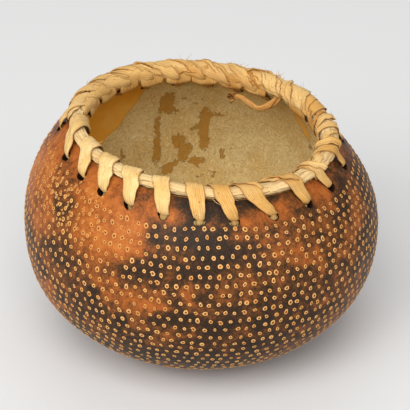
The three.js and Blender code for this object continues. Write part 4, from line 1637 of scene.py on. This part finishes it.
LOOSE_END = (
    LoosePoint(46.4, 0.0632, 0.1196, 0.0054, 75), LoosePoint(48.2, 0.0620, 0.1168, 0.0052, 60),
    LoosePoint(50.0, 0.0608, 0.1140, 0.0046, 35), LoosePoint(51.4, 0.0601, 0.1122, 0.0044, 10),
    LoosePoint(53.2, 0.0588, 0.1108, 0.0042, -10), LoosePoint(55.6, 0.0568, 0.1100, 0.0040, -20),
    LoosePoint(57.4, 0.0560, 0.1102, 0.0038, -10), LoosePoint(60.0, 0.0556, 0.1116, 0.0034, 30),
    LoosePoint(63.0, 0.0560, 0.1130, 0.0030, 60), LoosePoint(67.0, 0.0564, 0.1143, 0.0028, 40),
    LoosePoint(70.0, 0.0566, 0.1147, 0.0028, 70), LoosePoint(72.2, 0.0566, 0.1143, 0.0024, 110),
)


@dataclass
class LooseEnd:
    """The pale strip's loose end inside the rim, twisted thin and ending in a dark curled knot."""

    columns: int = 11
    step: float = 0.0007
    curl_radius: float = 0.0018
    curl_turns: float = 1.6
    strands: Sequence[tuple[str, float, float, float, int]] = (
        ("loose_end", 0.0, 1.0, 0.5, 21), ("loose_end_strand", 65.0, 0.55, 1.0, 23))

    def twisted(self, lead: float, share: float) -> np.ndarray:
        """Places a strand's points across, at each of its stations.

        Args:
            lead: how many degrees its twist is ahead.
            share: its width as a share of the loose end's.

        Returns:
            The rows of points.
        """
        places = np.array([point.place() for point in LOOSE_END])
        ahead = unit(np.gradient(places, axis=0))
        upright = unit(np.array([0, 0, 1.0]) - ahead * ahead[:, 2:3])
        level = np.cross(ahead, upright)
        side = np.linspace(-1, 1, self.columns)
        rows = []
        for number, point in enumerate(LOOSE_END):
            twist = math.radians(point.twist + lead)
            across = upright[number] * math.cos(twist) + level[number] * math.sin(twist)
            out = np.cross(ahead[number], across)
            trough = 0.28 * point.width * (side**2 - 0.4)
            flat = side[:, None] * across * point.width * share / 2
            rows.append(places[number] + flat + trough[:, None] * out)
        return np.array(rows)

    def knot(self, spin: float) -> np.ndarray:
        """Places the curled tip, wound round itself.

        Args:
            spin: how many degrees it is turned about the strand's own way.

        Returns:
            The rows of points.
        """
        last, before = LOOSE_END[-1].place(), LOOSE_END[-2].place()
        ahead = unit(last - before)
        side_way = unit(np.cross(ahead, [0, 0, 1.0]))
        up = np.cross(side_way, ahead)
        cosine, sine = math.cos(math.radians(spin)), math.sin(math.radians(spin))
        side_way, up = side_way * cosine + up * sine, up * cosine - side_way * sine
        rows = []
        for share in np.linspace(0, 1, 16):
            turn = FULL_TURN * self.curl_turns * share
            radius = self.curl_radius * (1 - 0.35 * share)
            middle = (last - up * 0.0004 + ahead * (radius * math.sin(turn) + 0.0008 * share)
                      + up * radius * (1 - math.cos(turn)) - side_way * 0.0022 * share)
            side = np.linspace(-1, 1, 7)[:, None]
            rows.append(middle + side * (side_way * 0.0014 + ahead * 0.0005 * math.cos(turn)))
        return np.array(rows)

    def build(self) -> None:
        """Builds the loose end and its knot."""
        for name, lead, share, tint, seed in self.strands:
            rows, _ = smooth_rows(self.twisted(lead, share), self.step)
            widths = np.linalg.norm(rows[:, -1] - rows[:, 0], axis=-1) / 2
            LeafRibbon(name, rows, widths, np.full(len(rows), 0.3), 0.0005, LOOSE_LEAF,
                       tint=np.linspace(tint, 0.1, len(rows)), crumple=0.0013, seed=seed).build("leaf_pale")
        for name, spin, finish, seed in (
                ("loose_end_knot", 0.0, KNOT_LEAF, 22), ("loose_end_tuft", 100.0, LOOSE_LEAF, 24)):
            rows, _ = smooth_rows(self.knot(spin), 0.0005)
            LeafRibbon(name, rows, np.full(len(rows), 0.0011), np.full(len(rows), 0.9), 0.0005,
                       finish, tint=np.full(len(rows), 0.4), crumple=0.0014, seed=seed).build("leaf_pale")


@dataclass
class HolePlugs:
    """Dull rolled leaf that fills the bottom of some holes, where the strip passes twice; its darker colour
    is painted shade of the hole.
    """

    form: GourdForm
    angles: Sequence[float] = (257, 270.5, 283.5, 299)
    radius: float = 0.0021
    rings: int = 8
    sides: int = 18

    def build(self) -> None:
        """Builds each plug as a piece of its own."""
        for number, degrees in enumerate(self.angles):
            angle = np.array(math.radians(degrees))
            length = self.form.edge(angle) - self.form.hole_drop(angle) - 0.0011
            way = self.form.normal(angle, length)
            side_way = unit(np.cross([0, 0, 1.0], way))
            up = np.cross(way, side_way)
            middle = self.form.point(angle, length, 0.0012)
            turns = np.linspace(0, FULL_TURN, self.sides, endpoint=False)
            rows = []
            for ring in range(1, self.rings):
                tilt = math.pi * ring / self.rings
                lobes = 1 + 0.06 * np.sin(3 * turns + number) + 0.03 * np.sin(7 * turns)
                size = self.radius * math.sin(tilt) * lobes
                depth = 0.0019 * math.cos(tilt)
                rows.append(middle + way * depth
                            + (side_way * np.cos(turns)[:, None] + up * 0.85 * np.sin(turns)[:, None])
                            * size[:, None])
            grid = np.array(rows)
            points = np.concatenate([grid.reshape(-1, 3), [middle + way * 0.0019, middle - way * 0.0019]])
            faces = [tuple(reversed(face)) for face in ring_faces(len(rows), self.sides)]
            head = len(rows) * self.sides
            last = head - self.sides
            for side in range(self.sides):
                after = (side + 1) % self.sides
                faces.append((head, side, after))
                faces.append((head + 1, last + after, last + side))
            count = len(points)
            made = make_object(f"hole_plug_{number + 1}", points, faces, {
                "across": points @ side_way, "along": points @ up, "rim": np.zeros(count),
                "pinch": np.full(count, 0.4), "tint": np.zeros(count)})
            made.data.materials.append(SHADED_HOLE_LEAF.build())
            declare(made, "leaf_pale")


@dataclass
class Frays:
    """Fine fibres that have come loose along the lacing."""

    rim: RimForm
    count: int = 260
    seed: int = 17

    @staticmethod
    def fibre() -> bpy.types.Object:
        """Makes one bent fibre, one unit long."""
        rows, sides = 7, 3
        points = []
        for row in range(rows):
            share = row / (rows - 1)
            middle = (0.22 * math.sin(share * 2.4), 0.1 * share**2, share)
            size = 0.042 * (1 - 0.75 * share)
            for side in range(sides):
                turn = FULL_TURN * side / sides
                points.append(
                    (middle[0] + size * math.cos(turn), middle[1] + size * math.sin(turn), middle[2]))
        faces = ring_faces(rows, sides)
        faces.append(tuple(reversed(range(sides))))
        faces.append(tuple(range((rows - 1) * sides, rows * sides)))
        made = make_object("fibre", np.array(points), faces)
        bpy.context.scene.collection.objects.unlink(made)
        return made

    def build(self) -> bpy.types.Object:
        """Builds the fibres.

        Returns:
            The finished piece.
        """
        rng = np.random.default_rng(self.seed)
        tuft, back = self.count // 12, self.count // 2
        angle = np.radians(np.concatenate([
            rng.normal(51, 1.2, tuft), rng.uniform(36, 78, back),
            rng.uniform(0, 360, self.count - tuft - back)]))
        turn = np.radians(np.concatenate([
            rng.uniform(40, 80, tuft), rng.uniform(-20, 160, self.count - tuft)]))
        clear = np.full(self.count, 0.0014)
        points = self.rim.flank(angle, turn, clear)
        out = unit(self.rim.flank(angle, turn, clear + 0.001) - points)
        along = np.stack([np.sin(angle), -np.cos(angle), np.zeros(self.count)], axis=-1)
        way = unit(out * rng.uniform(0.1, 1.3, (self.count, 1)) + along * rng.choice([-1, 1], (self.count, 1))
                   + rng.normal(0, 0.25, (self.count, 3)))
        made = make_object("frays", points, [], {"way_out": way})
        fibre = self.fibre()
        group = NodesGroup("frays")
        shortest = group.input("Shortest", "Float", 0.0012)
        longest = group.input("Longest", "Float", 0.0056)
        seed = group.input("Seed", "Int", self.seed)
        shape = group.node("GeometryNodeObjectInfo", {}, {
            "Object": group.input("Fibre", "Object", fibre), "As Instance": True})["Geometry"]
        turned = group.node("FunctionNodeAxesToRotation", {"primary_axis": "Z", "secondary_axis": "Y"}, {
            "Primary Axis": group.carried("way_out", "FLOAT_VECTOR")})["Rotation"]
        points_in = group.node("GeometryNodeMeshToPoints", {}, {"Mesh": group.source["Geometry"]})["Points"]
        placed = group.node("GeometryNodeInstanceOnPoints", {}, {
            "Points": points_in, "Instance": shape, "Rotation": turned,
            "Scale": group.random(shortest, longest, seed)})["Instances"]
        group.apply(made, placed, PALE_LEAF.build())
        bpy.data.objects.remove(fibre)
        declare(made, "leaf_pale")
        return made


@dataclass
class Studio:
    """The pale floor, the soft lights and the camera."""

    camera_distance: float = 1.1
    camera_elevation: float = math.radians(30)
    pixels_per_unit: float = 2035.0
    image_width: float = 410.0
    sensor: float = 36.0
    pivot_height: float = 0.066
    aim: tuple[float, float, float] = (0.00195, 0.0043, 0.0735)

    def floor(self) -> bpy.types.Object:
        """Lays the pale floor."""
        reach = 6.0
        corners = np.array([[-reach, -reach, 0], [reach, -reach, 0], [reach, reach, 0], [-reach, reach, 0]])
        made = make_object("floor", corners, [(0, 1, 2, 3)])
        shader = Shader("floor_finish")
        made.data.materials.append(shader.finish({
            "Base Color": (0.72, 0.72, 0.72, 1), "Roughness": 0.7, "Specular IOR Level": 0.2}))
        return made

    @staticmethod
    def lamp(name: str, place: tuple[float, float, float], size: float, power: float, colour: Colour) -> None:
        """Hangs a soft square light that faces the bowl."""
        data = bpy.data.lights.new(name, "AREA")
        data.energy, data.size, data.color = power, size, colour[:3]
        made = bpy.data.objects.new(name, data)
        bpy.context.scene.collection.objects.link(made)
        made.location = place
        made.rotation_euler = (Vector((0, 0, 0.06)) - Vector(place)).to_track_quat("-Z", "Y").to_euler()

    def build(self) -> None:
        """Sets the stage."""
        scene = bpy.context.scene
        self.floor()
        self.lamp("top_light", (-0.3, -2.0, 2.3), 2.0, 68.0, (1, 0.99, 0.97, 1))
        self.lamp("left_light", (-1.8, -1.8, 1.5), 1.7, 36.0, (1, 1, 0.99, 1))
        self.lamp("right_light", (1.9, -1.8, 1.4), 1.8, 17.0, (1, 1, 0.99, 1))
        self.lamp("back_light", (0.0, 1.6, 2.2), 2.4, 14.0, (1, 1, 1, 1))
        world = bpy.data.worlds.new("studio")
        world.use_nodes = True
        world.node_tree.nodes["Background"].inputs["Color"].default_value = (0.97, 0.98, 1, 1)
        world.node_tree.nodes["Background"].inputs["Strength"].default_value = 0.34
        scene.world = world
        scene.view_settings.view_transform = "Standard"
        data = bpy.data.cameras.new("camera")
        data.sensor_width = self.sensor
        data.lens = self.pixels_per_unit * self.sensor / self.image_width
        data.clip_start, data.clip_end = 0.05, 50.0
        camera = bpy.data.objects.new("camera", data)
        scene.collection.objects.link(camera)
        flat = self.camera_distance * math.cos(self.camera_elevation)
        lift = self.camera_distance * math.sin(self.camera_elevation)
        camera.location = (0, -flat, self.pivot_height + lift)
        camera.rotation_euler = (Vector(self.aim) - camera.location).to_track_quat("-Z", "Y").to_euler()
        scene.camera = camera


def main() -> None:
    """Builds the bowl's pieces in order, then the studio round them."""
    logging.basicConfig(level=logging.INFO, format="%(message)s")
    form = GourdForm()
    rim = RimForm(form)
    Studio().build()
    wall = GourdWall(form, [stitch.angle for stitch in (*PALE_STITCHES, *TAN_STITCHES)])
    wall.build()
    PrickMarks(wall).build()
    LeafCore(rim).build()
    Folds("core_fold", rim, CORE_FOLDS, CORE_LEAF, "leaf_core").build()
    LacingStrip("lacing_pale", rim, PALE_STITCHES, PALE_END, PALE_LEAF).build(
        "leaf_pale", "lacing_strip_pale")
    LacingStrip("lacing_tan", rim, TAN_STITCHES, TAN_END, TAN_LEAF,
                overlap=0.0001, curl=0.0006, seed=8).build("leaf_tan", "lacing_strip_tan")
    Folds("back_strand", rim, BACK_STRANDS, PALE_LEAF, "leaf_pale",
          crumple=0.0009, edge_lift=0.0014, seed=70).build()
    Folds("right_strand", rim, RIGHT_STRANDS, TAN_LEAF, "leaf_tan",
          crumple=0.0008, edge_lift=0.0010, seed=110).build()
    Folds("wrap_tail", rim, WRAP_TAILS, PALE_LEAF, "leaf_pale",
          crumple=0.0011, edge_lift=0.0008, seed=180).build()
    Folds("brown_strand", rim, BROWN_AND_SHADE_STRANDS, LOOSE_LEAF, "leaf_pale", crumple=0.0009, seed=150).build()
    LooseEnd().build()
    HolePlugs(form).build()
    Frays(rim).build()


if __name__ == "__main__":
    main()
